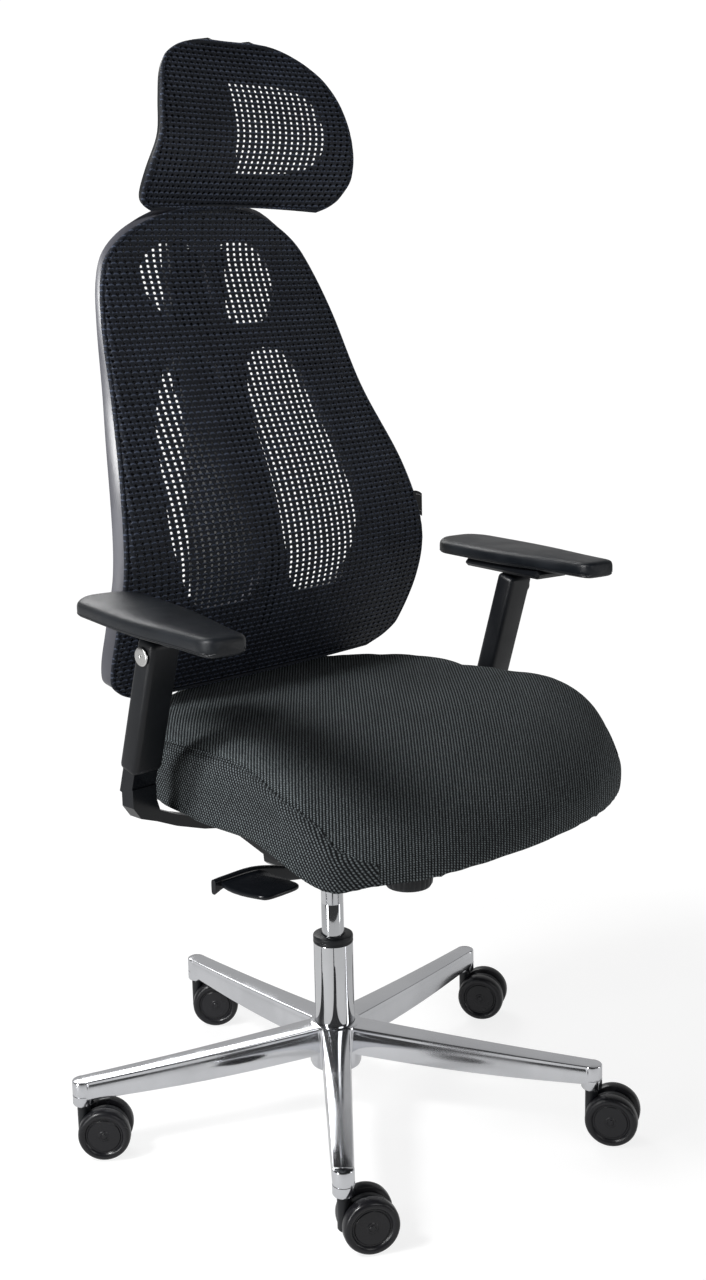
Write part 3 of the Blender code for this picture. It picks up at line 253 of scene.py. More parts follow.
def make_rib_group():
    """Ribs made of short stitches, half a stitch aside from rib to rib."""
    group, entry, leave = new_group(
        "ribbed_weave", (("Across", 0.0), ("Along", 0.0), ("Rib", 0.0034), ("Stitch", 0.0026)),
        ("Height", "Thread", "Fade"))
    w = Wiring(group)
    jitter = w.times(w.minus(w.noise(w.place(), 300.0, 2.0), 0.5), 0.0014)
    rib = w.plus(w.math('DIVIDE', w.plus(entry.outputs['Across'], jitter), entry.outputs['Rib']), 400.0)
    in_rib = w.math('ABSOLUTE', w.minus(w.math('FRACT', rib), 0.5))
    aside = w.times(w.math('FLOOR', rib), 0.5)
    stitch = w.plus(w.math('DIVIDE', w.plus(entry.outputs['Along'], jitter), entry.outputs['Stitch']),
                    w.plus(aside, 400.0))
    in_stitch = w.math('ABSOLUTE', w.minus(w.math('FRACT', stitch), 0.5))
    bead = w.times(w.ramp(in_rib, 0.06, 0.38, 1.0, 0.0), w.ramp(in_stitch, 0.12, 0.46, 1.0, 0.12))
    fuzz = w.noise(w.place(), 1500.0, 3.0, 0.75)
    w.link(w.plus(bead, w.times(fuzz, 0.35)), leave.inputs['Height'])
    w.link(w.times(bead, w.ramp(fuzz, 0.30, 0.70, 0.25, 1.30)), leave.inputs['Thread'])
    w.link(w.ramp(w.noise(w.place(), 6.0, 4.0), 0.3, 0.75), leave.inputs['Fade'])
    return group


def make_hide_group():
    """Soft pebbled skin of moulded foam."""
    group, entry, leave = new_group("pebbled_skin", (("Scale", 700.0),), ("Height", "Sheen"))
    w = Wiring(group)
    cells = w.node('ShaderNodeTexVoronoi', feature='DISTANCE_TO_EDGE')
    w.link(w.place(), cells.inputs['Vector'])
    w.feed(cells.inputs['Scale'], entry.outputs['Scale'])
    w.link(w.ramp(cells.outputs['Distance'], 0.0, 0.25), leave.inputs['Height'])
    w.link(w.ramp(w.noise(w.place(), 14.0, 4.0), 0.3, 0.7), leave.inputs['Sheen'])
    return group


GROUPS = {}


def group_node(wires, name, **values):
    makers = {"moulded_grain": make_grain_group, "open_knit": make_knit_group, "ribbed_weave": make_rib_group,
              "pebbled_skin": make_hide_group}
    if name not in GROUPS:
        GROUPS[name] = makers[name]()
    made = wires.node('ShaderNodeGroup')
    made.node_tree = GROUPS[name]
    for key, value in values.items():
        made.inputs[key].default_value = value
    return made.outputs


# ---------------------------------------------------------------- finishes
def new_finish(name, colour, roughness, metallic=0.0):
    look = bpy.data.materials.new(name)
    look.use_nodes = True
    shader = look.node_tree.nodes["Principled BSDF"]
    shader.inputs["Base Color"].default_value = (*colour, 1.0)
    shader.inputs["Roughness"].default_value = roughness
    shader.inputs["Metallic"].default_value = metallic
    return look, shader, Wiring(look.node_tree)


def bump(wires, shader, height, strength, distance):
    made = wires.node('ShaderNodeBump')
    made.inputs['Strength'].default_value = strength
    made.inputs['Distance'].default_value = distance
    wires.link(height, made.inputs['Height'])
    wires.link(made.outputs[0], shader.inputs['Normal'])


def two_tone(wires, shader, mask, low, high):
    mix = wires.node('ShaderNodeMix', data_type='RGBA')
    wires.feed(mix.inputs[0], mask)
    mix.inputs[6].default_value = (*low, 1.0)
    mix.inputs[7].default_value = (*high, 1.0)
    wires.link(mix.outputs[2], shader.inputs['Base Color'])


def metal_finish(name, colour, low, high, scale):
    look, shader, w = new_finish(name, colour, low, 1.0)
    grain = group_node(w, "moulded_grain", Scale=scale, Depth=1.0)
    w.link(w.ramp(grain['Handling'], 0.0, 1.0, low, high), shader.inputs['Roughness'])
    two_tone(w, shader, grain['Handling'], colour, tuple(c * 0.90 for c in colour))
    bump(w, shader, grain['Height'], 0.03, 0.0003)
    return look


def plastic_finish(name, colour, low, high, scale, depth):
    look, shader, w = new_finish(name, colour, low)
    grain = group_node(w, "moulded_grain", Scale=scale, Depth=1.0)
    w.link(w.ramp(grain['Handling'], 0.0, 1.0, low, high), shader.inputs['Roughness'])
    two_tone(w, shader, grain['Handling'], colour, tuple(c * 1.35 + 0.001 for c in colour))
    shader.inputs['Specular IOR Level'].default_value = 0.40
    bump(w, shader, grain['Height'], depth, 0.0004)
    return look


def knit_finish(name, across, up, wide, tall):
    look, shader, w = new_finish(name, colours().knit, 0.62)
    knit = group_node(w, "open_knit", Across=across, Up=up, Wide=wide, Tall=tall)
    base = tuple(colours().knit)
    # painted highlight: the loop mask takes the knit from a tenth to seven times its colour on the yarn loops
    two_tone(w, shader, knit['Yarn_highlight'], tuple(c * 0.10 for c in base), tuple(min(1.0, c * 7.0) for c in base))
    shader.inputs['Specular IOR Level'].default_value = 0.28
    w.link(w.minus(1.0, knit['Opening']), shader.inputs['Alpha'])
    bump(w, shader, knit['Height'], 0.9, 0.0012)
    return look


def dot(w, direction):
    made = w.node('ShaderNodeVectorMath', operation='DOT_PRODUCT')
    w.link(w.place(), made.inputs[0])
    made.inputs[1].default_value = direction
    return made.outputs['Value']


def seat_finish(name, rib, stitch, across, along, lift):
    look, shader, w = new_finish(name, colours().seat_ground, 0.88)
    weave = group_node(w, "ribbed_weave", Rib=rib, Stitch=stitch)
    sockets = weave['Height'].node.inputs
    w.link(dot(w, across), sockets['Across'])
    w.link(dot(w, along), sockets['Along'])
    mask = w.times(weave['Thread'], w.ramp(weave['Fade'], 0.0, 1.0, 0.75, 1.0))
    ground = tuple(colours().seat_ground)
    thread = tuple(c * lift for c in colours().seat_thread)
    two_tone(w, shader, mask, ground, thread)
    shader.inputs['Specular IOR Level'].default_value = 0.25
    bump(w, shader, weave['Height'], 0.85, 0.0010)
    return look


def pad_finish(name):
    look, shader, w = new_finish(name, (0.013, 0.015, 0.018), 0.40)
    skin = group_node(w, "pebbled_skin", Scale=620.0)
    w.link(w.ramp(skin['Sheen'], 0.0, 1.0, 0.34, 0.46), shader.inputs['Roughness'])
    two_tone(w, shader, skin['Sheen'], (0.0040, 0.0055, 0.0080), (0.0080, 0.0105, 0.0145))
    shader.inputs['Specular IOR Level'].default_value = 0.38
    bump(w, shader, skin['Height'], 0.22, 0.0004)
    return look


FINISHES = {}


def finish(name):
    """A finish, made the first time that it is asked for."""
    if name not in FINISHES:
        plastic = tuple(colours().plastic)
        across, up = sizes().hole_across, sizes().hole_up
        makers = {
            "polished_aluminium": lambda: metal_finish(name, (0.80, 0.81, 0.84), 0.09, 0.20, 260.0),
            "chrome_plate": lambda: metal_finish(name, (0.74, 0.75, 0.77), 0.03, 0.06, 200.0),
            "bright_steel": lambda: metal_finish(name, (0.50, 0.51, 0.53), 0.26, 0.40, 1200.0),
            "moulded_black": lambda: plastic_finish(name, plastic, 0.36, 0.50, 1500.0, 0.25),
            "semi_gloss_black": lambda: plastic_finish(name, plastic, 0.16, 0.26, 700.0, 0.08),
            "wheel_black": lambda: plastic_finish(name, (0.010, 0.010, 0.012), 0.24, 0.38, 900.0, 0.10),
            "back_frame_satin": lambda: plastic_finish(name, tuple(colours().frame_rim), 0.30, 0.40,
                    1300.0, 0.15),
            "button_silver": lambda: metal_finish(name, (0.80, 0.80, 0.79), 0.22, 0.34, 1500.0),
            "back_knit": lambda: knit_finish(name, across, up, 0.205, 0.255),
            "head_knit": lambda: knit_finish(name, across * 0.90, up * 0.92, 0.200, 0.245),
            "seat_cover": lambda: seat_finish(
                name, sizes().rib, sizes().rib * 0.76, (0.72, -0.69, 0.0), (0.69, 0.72, 1.0), 1.0),
            "seat_side_cover": lambda: seat_finish(
                name, sizes().rib, sizes().rib * 0.9, (0.30, -0.80, 0.45), (0.15, 0.35, 0.90), 0.80),
            # the cord carries the knit's painted loop highlight, with almost no openings
            "piping_cloth": lambda: knit_finish(name, across * 0.7, up, 0.0001, 0.0001),
            "arm_pad_skin": lambda: pad_finish(name),
            "tag_cloth": lambda: plastic_finish(name, (0.014, 0.014, 0.016), 0.7, 0.85, 3000.0, 0.8),
            "tag_stitch": lambda: plastic_finish(name, (0.42, 0.42, 0.42), 0.7, 0.8, 3000.0, 0.5),
        }
        FINISHES[name] = makers[name]()
    return FINISHES[name]


# ---------------------------------------------------------------- modelling words
def object_mode():
    if bpy.context.object and bpy.context.object.mode != 'OBJECT':
        bpy.ops.object.mode_set(mode='OBJECT')


def only(piece):
    object_mode()
    bpy.ops.object.select_all(action='DESELECT')
    piece.select_set(True)
    bpy.context.view_layer.objects.active = piece
    return piece


def begin(name, primitive, **settings):
    object_mode()
    bpy.ops.object.select_all(action='DESELECT')
    primitive(**settings)
    piece = bpy.context.object
    piece.name = name
    piece.data.name = name
    return piece


def settle(piece):
    """Puts the place of a piece into its mesh."""
    only(piece)
    bpy.ops.object.transform_apply(location=True, rotation=True, scale=True)
    return piece


def modify(piece, kind, **settings):
    """Adds a modifier with its settings and applies it."""
    only(piece)
    step = piece.modifiers.new(kind.lower(), kind)
    for key, value in settings.items():
        setattr(step, key, value)
    bpy.ops.object.modifier_apply(modifier=step.name)
    return piece


def edit(piece, *steps):
    """Takes steps, each an operator and its settings, on the whole of a piece in edit mode."""
    only(piece)
    bpy.ops.object.mode_set(mode='EDIT')
    for operator, settings in steps:
        bpy.ops.mesh.select_all(action='SELECT')
        operator(**settings)
    bpy.ops.object.mode_set(mode='OBJECT')
    return piece


def tidy_mesh(piece, merge=MERGE):
    return edit(piece, (bpy.ops.mesh.remove_doubles, {"threshold": merge}),
                (bpy.ops.mesh.dissolve_degenerate, {"threshold": 0.000001}),
                (bpy.ops.mesh.normals_make_consistent, {"inside": False}))


def round_edges(piece, width, segments=3, angle=30.0):
    return modify(piece, 'BEVEL', width=width, segments=segments, limit_method='ANGLE',
                  angle_limit=math.radians(angle))


def thicken(piece, thickness, offset=-1.0):
    return modify(piece, 'SOLIDIFY', thickness=thickness, offset=offset)


def smooth(piece, angle=40.0):
    only(piece)
    bpy.ops.object.shade_smooth_by_angle(angle=math.radians(angle))
    return piece


def hand_over(piece, body, look, replaced=(), angle=40.0):
    """Gives a finished piece its body, finish and slot."""
    if look is not None:
        piece.data.materials.clear()
        piece.data.materials.append(finish(look))
    smooth(piece, angle)
    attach(piece, body)
    if replaced:
        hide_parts(*replaced)
    return piece


def skin(name, across, along, form, closed=False, caps=False):
    """A grid shaped to form(s, t), with s and t from 0 to 1; closed joins its two sides to a tube."""
    piece = begin(name, bpy.ops.mesh.primitive_grid_add, x_subdivisions=across, y_subdivisions=along,
            size=2.0)
    for vert in piece.data.vertices:
        vert.co = form((vert.co.x + 1) / 2, (vert.co.y + 1) / 2)
    if closed:
        ends = [(bpy.ops.mesh.fill_holes, {"sides": 0})] if caps else []
        edit(piece, (bpy.ops.mesh.remove_doubles, {"threshold": MERGE}), *ends,
             (bpy.ops.mesh.normals_make_consistent, {"inside": False}))
    return piece


def turned(name, profile, place, steps=64, rotation=None):
    """A closed (radius, height) profile spun round its own z axis, then turned and put at place."""
    piece = begin(name, bpy.ops.mesh.primitive_circle_add, vertices=len(profile), radius=1.0)
    for vert, (radius, height) in zip(piece.data.vertices, profile):
        vert.co = (radius, 0.0, height)
    edit(piece, (bpy.ops.mesh.spin, {"steps": steps, "angle": math.tau, "center": (0, 0, 0), "axis": (0,
            0, 1)}))
    tidy_mesh(piece)
    piece.matrix_world = Matrix.Translation(place) @ (rotation or Matrix.Identity(4))
    return settle(piece)


def block(name, size, place, rotation=None, width=0.002, segments=3):
    """A block with rounded edges."""
    piece = begin(name, bpy.ops.mesh.primitive_cube_add, size=1.0)
    piece.scale = size
    settle(piece)
    round_edges(piece, width, segments)
    piece.matrix_world = Matrix.Translation(place) @ (rotation or Matrix.Identity(4))
    return settle(piece)


def plain_box(name, size, place):
    """A sharp box that cuts a slot."""
    piece = begin(name, bpy.ops.mesh.primitive_cube_add, size=1.0)
    piece.scale = size
    piece.location = place
    return settle(piece)


def pipe(name, points, radius, sides=8, closed=False):
    """A round cord through points."""
    points = [Vector(p) for p in points]
    count = len(points)
    frames = []
    for i, here in enumerate(points):
        before = points[(i - 1) % count] if closed or i else here
        after = points[(i + 1) % count] if closed or i < count - 1 else here
        along = (after - before).normalized()
        side = along.cross(Vector((0, 0, 1)))
        if side.length < 0.05:
            side = along.cross(Vector((0, 1, 0)))
        side.normalize()
        frames.append((here, side, side.cross(along)))
    if closed:
        frames.append(frames[0])

    def form(s, t):
        here, side, up = frames[round(t * (len(frames) - 1))]
        turn = s * math.tau
        return here + side * radius * math.cos(turn) + up * radius * math.sin(turn)

    return skin(name, sides, len(frames) - 1, form, closed=True, caps=not closed)


def join(pieces, name):
    object_mode()
    bpy.ops.object.select_all(action='DESELECT')
    for piece in pieces:
        piece.select_set(True)
    bpy.context.view_layer.objects.active = pieces[0]
    bpy.ops.object.join()
    pieces[0].name = name
    pieces[0].data.name = name
    return pieces[0]


def copied(piece, name, matrix):
    """A copy with its own mesh, moved by matrix."""
    twin = piece.copy()
    twin.data = piece.data.copy()
    twin.name = name
    twin.data.name = name
    bpy.context.scene.collection.objects.link(twin)
    twin.data.transform(matrix)
    return twin


def cut(piece, tool):
    modify(piece, 'BOOLEAN', operation='DIFFERENCE', solver='EXACT', object=tool)
    bpy.data.objects.remove(tool, do_unlink=True)


def prism(name, corners, low, high):
    """A rounded outline in x and z, drawn through y."""
    for share in (0.20, 0.25, 0.25):
        trimmed = []
        for i, corner in enumerate(corners):
            here, after = Vector(corner), Vector(corners[(i + 1) % len(corners)])
            trimmed.append(tuple(here.lerp(after, share)))
            trimmed.append(tuple(here.lerp(after, 1.0 - share)))
        corners = trimmed
    piece = begin(name, bpy.ops.mesh.primitive_circle_add, vertices=len(corners), radius=1.0,
            fill_type='NGON')
    for vert, (x, z) in zip(piece.data.vertices, corners):
        vert.co = (x, low, z)
    edit(piece, (bpy.ops.mesh.extrude_region_move, {"TRANSFORM_OT_translate": {"value": (0, high - low, 0)}}))
    return tidy_mesh(piece)


def between(start, stop, share):
    return start + (stop - start) * share


def smooth_step(t):
    t = min(1.0, max(0.0, t))
    return t * t * (3.0 - 2.0 * t)


def read_stations(stations, share, column):
    share = min(stations[-1][0], max(stations[0][0], share))
    last = len(stations) - 1
    i = max(k for k in range(last) if stations[k][0] <= share)
    slopes = []
    for k in (i, i + 1):
        before, after = stations[max(k - 1, 0)], stations[min(k + 1, last)]
        slopes.append((after[column] - before[column]) / (after[0] - before[0]))
    width = stations[i + 1][0] - stations[i][0]
    t = (share - stations[i][0]) / width
    start, stop = stations[i][column], stations[i + 1][column]
    return (start * (1 + 2 * t) * (1 - t) ** 2 + stop * t * t * (3 - 2 * t)
            + slopes[0] * width * t * (1 - t) ** 2 - slopes[1] * width * t * t * (1 - t))


def back_point(u, share, behind=0.0):
    half = BACK_HALF * read_stations(BACK_STATIONS, share, 1)
    y = BACK_FRONT + read_stations(BACK_STATIONS, share, 2)
    return COLUMN + Vector((u * half, y - 0.008 * (1 - u * u) + behind, BACK_LOW + BACK_TALL * share))


def head_point(u, share, behind=0.0):
    half = HEAD_HALF * read_stations(HEAD_STATIONS, share, 1)
    y = HEAD_FRONT + read_stations(HEAD_STATIONS, share, 2) + 0.016 * (1 - u * u) * (1 - share * 0.8)
    z = HEAD_LOW + HEAD_TALL * share - 0.006 * u * u * (1 - share) ** 2
    return COLUMN + Vector((u * half, y + behind, z))


def round_ends(t):
    """Spaces rows closer together at both ends."""
    return t - 0.6 * math.sin(math.tau * t) / math.tau


def outline(point, count, behind, reach=1.0):
    """The rim of a back surface, round from its lower middle."""
    rim = []
    for i in range(count):
        rim.append(point(reach, round_ends(i / count), behind))
    for i in range(12):
        rim.append(point(reach * (1 - 2 * i / 12), 1.0, behind))
    for i in range(count):
        rim.append(point(-reach, round_ends(1 - i / count), behind))
    for i in range(24):
        rim.append(point(reach * (2 * i / 24 - 1), 0.0, behind))
    kept = [rim[0]]
    for spot in rim[1:]:
        if (spot - kept[-1]).length > 0.0035:
            kept.append(spot)
    return kept


# ---------------------------------------------------------------- base and column
def star_arm():
    """One arm of the base along +X: flat top, a ledge below it, tall sides and a round boss."""
    section = ((0.00, 1.00), (0.78, 1.00), (0.88, 0.985), (0.92, 0.95), (0.92, 0.89), (0.86, 0.865),
            (0.86, 0.82),
               (0.90, 0.78), (1.00, 0.12), (0.97, 0.03), (0.88, 0.00), (0.00, 0.00))
    loop = list(section) + [(-x, z) for x, z in reversed(section[1:-1])]

    def form(s, t):
        x, z = loop[round(s * len(loop)) % len(loop)]
        reach = between(0.027, STEM_CIRCLE, t)
        half = between(0.0190, 0.0124, t ** 0.9)
        top = between(0.1167, 0.0965, t) - 0.0015 * math.sin(math.pi * t)
        deep = between(0.036, 0.0235, t) + 0.003 * math.sin(math.pi * t)
        return Vector((reach, x * half, top - deep * (1 - z)))

    arm = skin("star_arm", len(loop), 26, form, closed=True, caps=True)
    boss = turned("star_boss", [
        (0.0, 0.0964), (0.0108, 0.0963), (0.0119, 0.0957), (0.0125, 0.0945), (0.0126, 0.0790), (0.0120,
                0.0785),
        (0.0120, 0.0775), (0.0127, 0.0770), (0.0127, 0.0665), (0.0118, 0.0648), (0.0068, 0.0648), (0.0068,
                0.0880),
        (0.0, 0.0880)], (STEM_CIRCLE, 0, 0), 40)
    return join([arm, boss], "star_arm_with_boss")


class ChairBase(bpy.types.Operator):
    """Models the polished five-star base."""
    bl_idname = "chair.base"
    bl_label = "Five-star base"

    def execute(self, context):
        arm = star_arm()
        arms = []
        for k in range(5):
            turn = Matrix.Translation(COLUMN) @ Matrix.Rotation(STAR_TURN + k * math.tau / 5, 4, 'Z')
            arms.append(copied(arm, f"star_arm_{k + 1}", turn))
        bpy.data.objects.remove(arm, do_unlink=True)
        hub = turned("star_hub", [
            (0.0255, 0.1178), (0.0300, 0.1178), (0.0325, 0.1165), (0.0335, 0.1140), (0.0335, 0.0900),
            (0.0325, 0.0640), (0.0312, 0.0604), (0.0255, 0.0604)], COLUMN, 96)
        base = join([hub] + arms, "polished_star_base")
        hand_over(base, "base", "polished_aluminium", ["base_star"], 32)
        return {'FINISHED'}


class ChairCastors(bpy.types.Operator):
    """Models the twin-wheel castors."""
    bl_idname = "chair.castors"
    bl_label = "Castors"

    def execute(self, context):
        wheel_profile = [
            (0.0040, 0.0062), (0.0060, 0.0062), (0.0068, 0.0056), (0.0195, 0.0056), (0.0205, 0.0046),
                    (0.0220, 0.0046),
            (0.0230, 0.0060), (0.0240, 0.0072), (0.0262, 0.0082), (0.0285, 0.0080), (0.0305, 0.0066),
                    (0.0316, 0.0042),
            (0.0320, 0.0010), (0.0320, -0.0050), (0.0312, -0.0072), (0.0290, -0.0084), (0.0040, -0.0084)]
        wheel = turned("wheel", wheel_profile, (0, 0, 0), 72)
        cap = turned("wheel_cap", [(0.0, 0.0072), (0.0030, 0.0072), (0.0038, 0.0064), (0.0038, 0.0040),
                (0.0, 0.0040)],
                     (0, 0, 0), 24)
        wheel = join([wheel, cap], "wheel")
        neck = turned("neck", [
            (0.0, 0.0640), (0.0066, 0.0640), (0.0076, 0.0630), (0.0079, 0.0600), (0.0079, 0.0240),
                    (0.0060, 0.0215),
            (0.0, 0.0215)], (0, 0, 0), 32)

        def hood_form(s, t):
            # a curved cover between the wheels, thicker over their tops
            turn = math.radians(-45 + 250 * t)
            ring = (0.0050, 0.0272)
            side = (0.0068, 0.0058)
            corner = round(s * 8) % 8
            out = ring[1] if corner in (1, 2, 3, 4) else ring[0]
            y = (-1, -1, -0.5, 0.5, 1, 1, 0.5, -0.5)[corner] * (side[0] if out == ring[0] else side[1])
            lift = 0.0012 if corner in (2, 3) else 0.0
            return Vector((0.026 + math.cos(turn) * (out + lift), y, 0.032 + math.sin(turn) * (out + lift)))

        cover = skin("hood_cover", 8, 40, hood_form, closed=True, caps=True)
        hood = join([neck, cover], "hood")
        for k in range(5):
            joint = JOINTS[f"castor_swivel_{k + 1}"]
            spin = JOINTS[f"wheel_spin_{k + 1}a"]
            stem = Vector((*joint["pos_m"][:2], 0.0))
            axle = Vector(spin["pos_m"])
            across = Vector(spin["axis"]).normalized()
            trail = Vector((axle.x - stem.x, axle.y - stem.y, 0.0)).normalized()
            turn = Matrix.Rotation(math.atan2(trail.y, trail.x), 4, 'Z')
            twin = copied(hood, f"castor_cover_{k + 1}", Matrix.Translation(stem) @ turn)
            hand_over(twin, f"castor_{k + 1}", "moulded_black", [f"castor_hood_{k + 1}"], 40)
            for letter, side in (("a", -1), ("b", 1)):
                place = axle + across * side * WHEEL_OUT
                facing = Vector((0, 0, 1)).rotation_difference(across * side).to_matrix().to_4x4()
                rim = copied(wheel, f"wheel_{k + 1}{letter}_turned", Matrix.Translation(place) @ facing)
                hand_over(rim, f"wheel_{k + 1}{letter}", "wheel_black",
                          [f"castor_wheel_{k + 1}{letter}"], 32)
        for spare in (wheel, hood):
            bpy.data.objects.remove(spare, do_unlink=True)
        return {'FINISHED'}


class ChairColumn(bpy.types.Operator):
    """Models the chrome column, its black ring and the gas cylinder."""
    bl_idname = "chair.column"
    bl_label = "Column"

    def execute(self, context):
        tube = turned("chrome_column", [
            (0.0232, 0.2245), (0.0246, 0.2245), (0.0250, 0.2240), (0.0250, 0.0622), (0.0058, 0.0622),
            (0.0058, 0.0660), (0.0232, 0.0660)], COLUMN, 96)
        hand_over(tube, "base", "chrome_plate", ["column_tube"], 35)
        ring = turned("column_ring", [
            (0.0146, 0.2345), (0.0236, 0.2345), (0.0248, 0.2338), (0.0253, 0.2325), (0.0253, 0.2290),
                    (0.0249, 0.2284),
            (0.0249, 0.2272), (0.0253, 0.2266), (0.0253, 0.2249), (0.0229, 0.2248), (0.0229, 0.1450),
            (0.0146, 0.1450)], COLUMN, 96)
        hand_over(ring, "base", "moulded_black", ["guide_sleeve"], 35)
        gas = turned("gas_spring", [
            (0.0033, 0.3520), (0.0130, 0.3520), (0.0140, 0.3510), (0.0140, 0.2772), (0.01385, 0.2769),
            (0.01385, 0.2763), (0.0140, 0.2760), (0.0140, 0.1610), (0.0132, 0.1600), (0.0062, 0.1600),
            (0.0062, 0.3220), (0.0033, 0.3220)], COLUMN, 72)
        hand_over(gas, "chair_body", "chrome_plate", ["gas_cylinder"], 35)
        return {'FINISHED'}


# ---------------------------------------------------------------- seat
def seat_plan(u, v):
    rear = max(0.0, v)
    narrow = 1.0 - 0.24 * rear ** 3 - 0.06 * max(0.0, -v) ** 6
    y = SEAT_FRONT + SEAT_LONG * (v + 1) / 2
    bow = max(0.0, -v) ** 2 * (0.055 * u * u + 0.012 * u ** 6)
    return u * SEAT_HALF * narrow, y + bow - 0.075 * rear ** 2 * abs(u) ** 3


def seat_under(u, v):
    front = smooth_step((-v - 0.25) / 0.65)
    return 0.440 + 0.022 * abs(u) ** 2.5 * (1 - 0.75 * front) - 0.030 * front * (0.35 + 0.45 * u * u)


def seat_over(u, v):
    front = max(0.0, -v - 0.25) / 0.75
    rear = max(0.0, v - 0.55) / 0.45
    dish = 0.005 * math.exp(-((u / 0.55) ** 2 + ((v - 0.25) / 0.5) ** 2))
    return 0.551 - 0.004 * u * u - 0.062 * front ** 2.4 - 0.004 * rear ** 2 - dish


def hem(u, v):
    """How far the cover hangs past the cushion's underside at its rim."""
    side = smooth_step((abs(u) - 0.82) / 0.18) * smooth_step((0.45 - v) / 0.5)
    nose = smooth_step((-v - 0.82) / 0.18)
    return 0.0085 * max(side, nose)


def seat_form(co):
    u, v, w = co
    # a cube's corners are rounded before it takes the cushion's plan
    edge = ((1 - u ** 4) * (1 - v ** 4)) ** 0.5
    x, y = seat_plan(u, v)
    low, high = seat_under(u, v), seat_over(u, v)
    pull = 1.0 - 0.035 * max(0.0, w) ** 3 - 0.012 * max(0.0, -w) ** 3
    rounded = high - 0.010 * (1 - edge)
    low -= hem(u, v)
    return COLUMN + Vector((x * pull, y * pull, low + 0.001 + (rounded - low) * (w + 1) / 2))


def fill_cushion(piece, reach):
    """The cover swells under the pressure of its filling, held by its own cloth."""
    start = [vert.co.copy() for vert in piece.data.vertices]
    only(piece)
    cloth = piece.modifiers.new("cover", 'CLOTH')
    cloth.settings.use_pressure = True
    cloth.settings.uniform_pressure_force = 4.0
    cloth.settings.effector_weights.gravity = 0.0
    cloth.settings.quality = 4
    cloth.settings.tension_stiffness = 25.0
    cloth.settings.compression_stiffness = 25.0
    cloth.settings.bending_stiffness = 1.0
    cloth.point_cache.frame_start = 1
    cloth.point_cache.frame_end = 20
    for number in range(1, 21):
        bpy.context.scene.frame_set(number)
    graph = bpy.context.evaluated_depsgraph_get()
    swollen = [vert.co.copy() for vert in piece.evaluated_get(graph).data.vertices]
    piece.modifiers.remove(cloth)
    bpy.context.scene.frame_set(1)
    for vert, before, after in zip(piece.data.vertices, start, swollen):
        move = after - before
        if move.length > reach:
            move *= reach / move.length
        # the seat rests on its pan, so its underside stays flat
        hold = smooth_step((before.z - 0.450) / 0.030)
        vert.co = before + move * hold


def seam_height(y):
    """Height of the seam between top cover and side panel."""
    stations = ((-0.300, 0.440), (-0.254, 0.4715), (-0.238, 0.4895), (-0.215, 0.5035), (-0.183, 0.5145),
                (-0.150, 0.5260), (-0.080, 0.5340), (0.050, 0.5340), (0.220, 0.5300))
    return read_stations(stations, y, 1)


class ChairSeat(bpy.types.Operator):
    """Models the upholstered seat with its side panels and seams."""
    bl_idname = "chair.seat"
    bl_label = "Seat"

    def execute(self, context):
        cushion = begin("seat_cover", bpy.ops.mesh.primitive_cube_add, size=2.0)
        edit(cushion, (bpy.ops.mesh.subdivide, {"number_cuts": 30}))
        for vert in cushion.data.vertices:
            vert.co = seat_form(vert.co)
        middle = COLUMN + Vector((0, -0.06, 0.495))
        for vert in cushion.data.vertices:
            vert.co = middle + (vert.co - middle) * 0.994
        modify(cushion, 'REMESH', mode='VOXEL', voxel_size=0.006)
        modify(cushion, 'SMOOTH', factor=0.5, iterations=3)
        fill_cushion(cushion, sizes().swell)
        modify(cushion, 'SMOOTH', factor=0.5, iterations=2)
        modify(cushion, 'SUBSURF', levels=1, render_levels=1)
        self.fit(cushion)
        self.sew(cushion)
        self.panel(cushion)
        hand_over(cushion, "seat", None, ["seat_cushion"], 180)
        return {'FINISHED'}

    def fit(self, cushion):
        """Keeps the cover inside the space that the cushion holds, above the seat pan."""
        low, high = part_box("seat_cushion")
        for vert in cushion.data.vertices:
            vert.co.x = min(max(vert.co.x, low[0] - 0.004), high[0] + 0.004)
            vert.co.y = min(max(vert.co.y, low[1] - 0.004), high[1] + 0.004)
            local = vert.co - COLUMN
            u = max(-1.0, min(1.0, local.x / 0.255))
            v = max(-1.0, min(1.0, (local.y - SEAT_FRONT) / (SEAT_LONG / 2) - 1))
            vert.co.z = max(vert.co.z, seat_under(u, v) + 0.0006 - hem(u, v) * 1.05)

    def sew(self, cushion):
        """Presses a groove along the seam and lays its cord in it."""
        tree = BVHTree.FromObject(cushion, bpy.context.evaluated_depsgraph_get())
        path = []
        for side in (-1, 1):
            run = []
            for i in range(90):
                y = -0.262 + 0.400 * i / 89
                origin = COLUMN + Vector((side * 0.5, y, seam_height(y)))
                spot, normal, _, _ = tree.ray_cast(origin, Vector((-side, 0, 0)))
                if spot is not None and normal.x * side > 0.10:
                    run.append(spot)
            path.append(run)
        for vert in cushion.data.vertices:
            for run in path:
                if abs(vert.co.x - run[0].x) > 0.08:
                    continue
                near = min((vert.co - spot).length_squared for spot in run) ** 0.5
                if near < 0.009:
                    vert.co -= vert.normal * 0.0022 * (1 - smooth_step(near / 0.009))
        for word, run in (("right", path[0]), ("left", path[1])):
            cord = pipe(f"seat_seam_{word}", [spot - Vector((math.copysign(0.0012, spot.x), 0, 0))
                    for spot in run],
                        0.0014, 8)
            hand_over(cord, "seat", "seat_side_cover", (), 60)

    def panel(self, cushion):
        """Gives the side panels their own cloth."""
        cushion.data.materials.clear()
        cushion.data.materials.append(finish("seat_cover"))
        cushion.data.materials.append(finish("seat_side_cover"))
        for face in cushion.data.polygons:
            centre = face.center - COLUMN
            below = centre.z < seam_height(centre.y)
            if below and abs(centre.x) > 0.150 and centre.y > -0.285 and abs(face.normal.x) > 0.22:
                face.material_index = 1


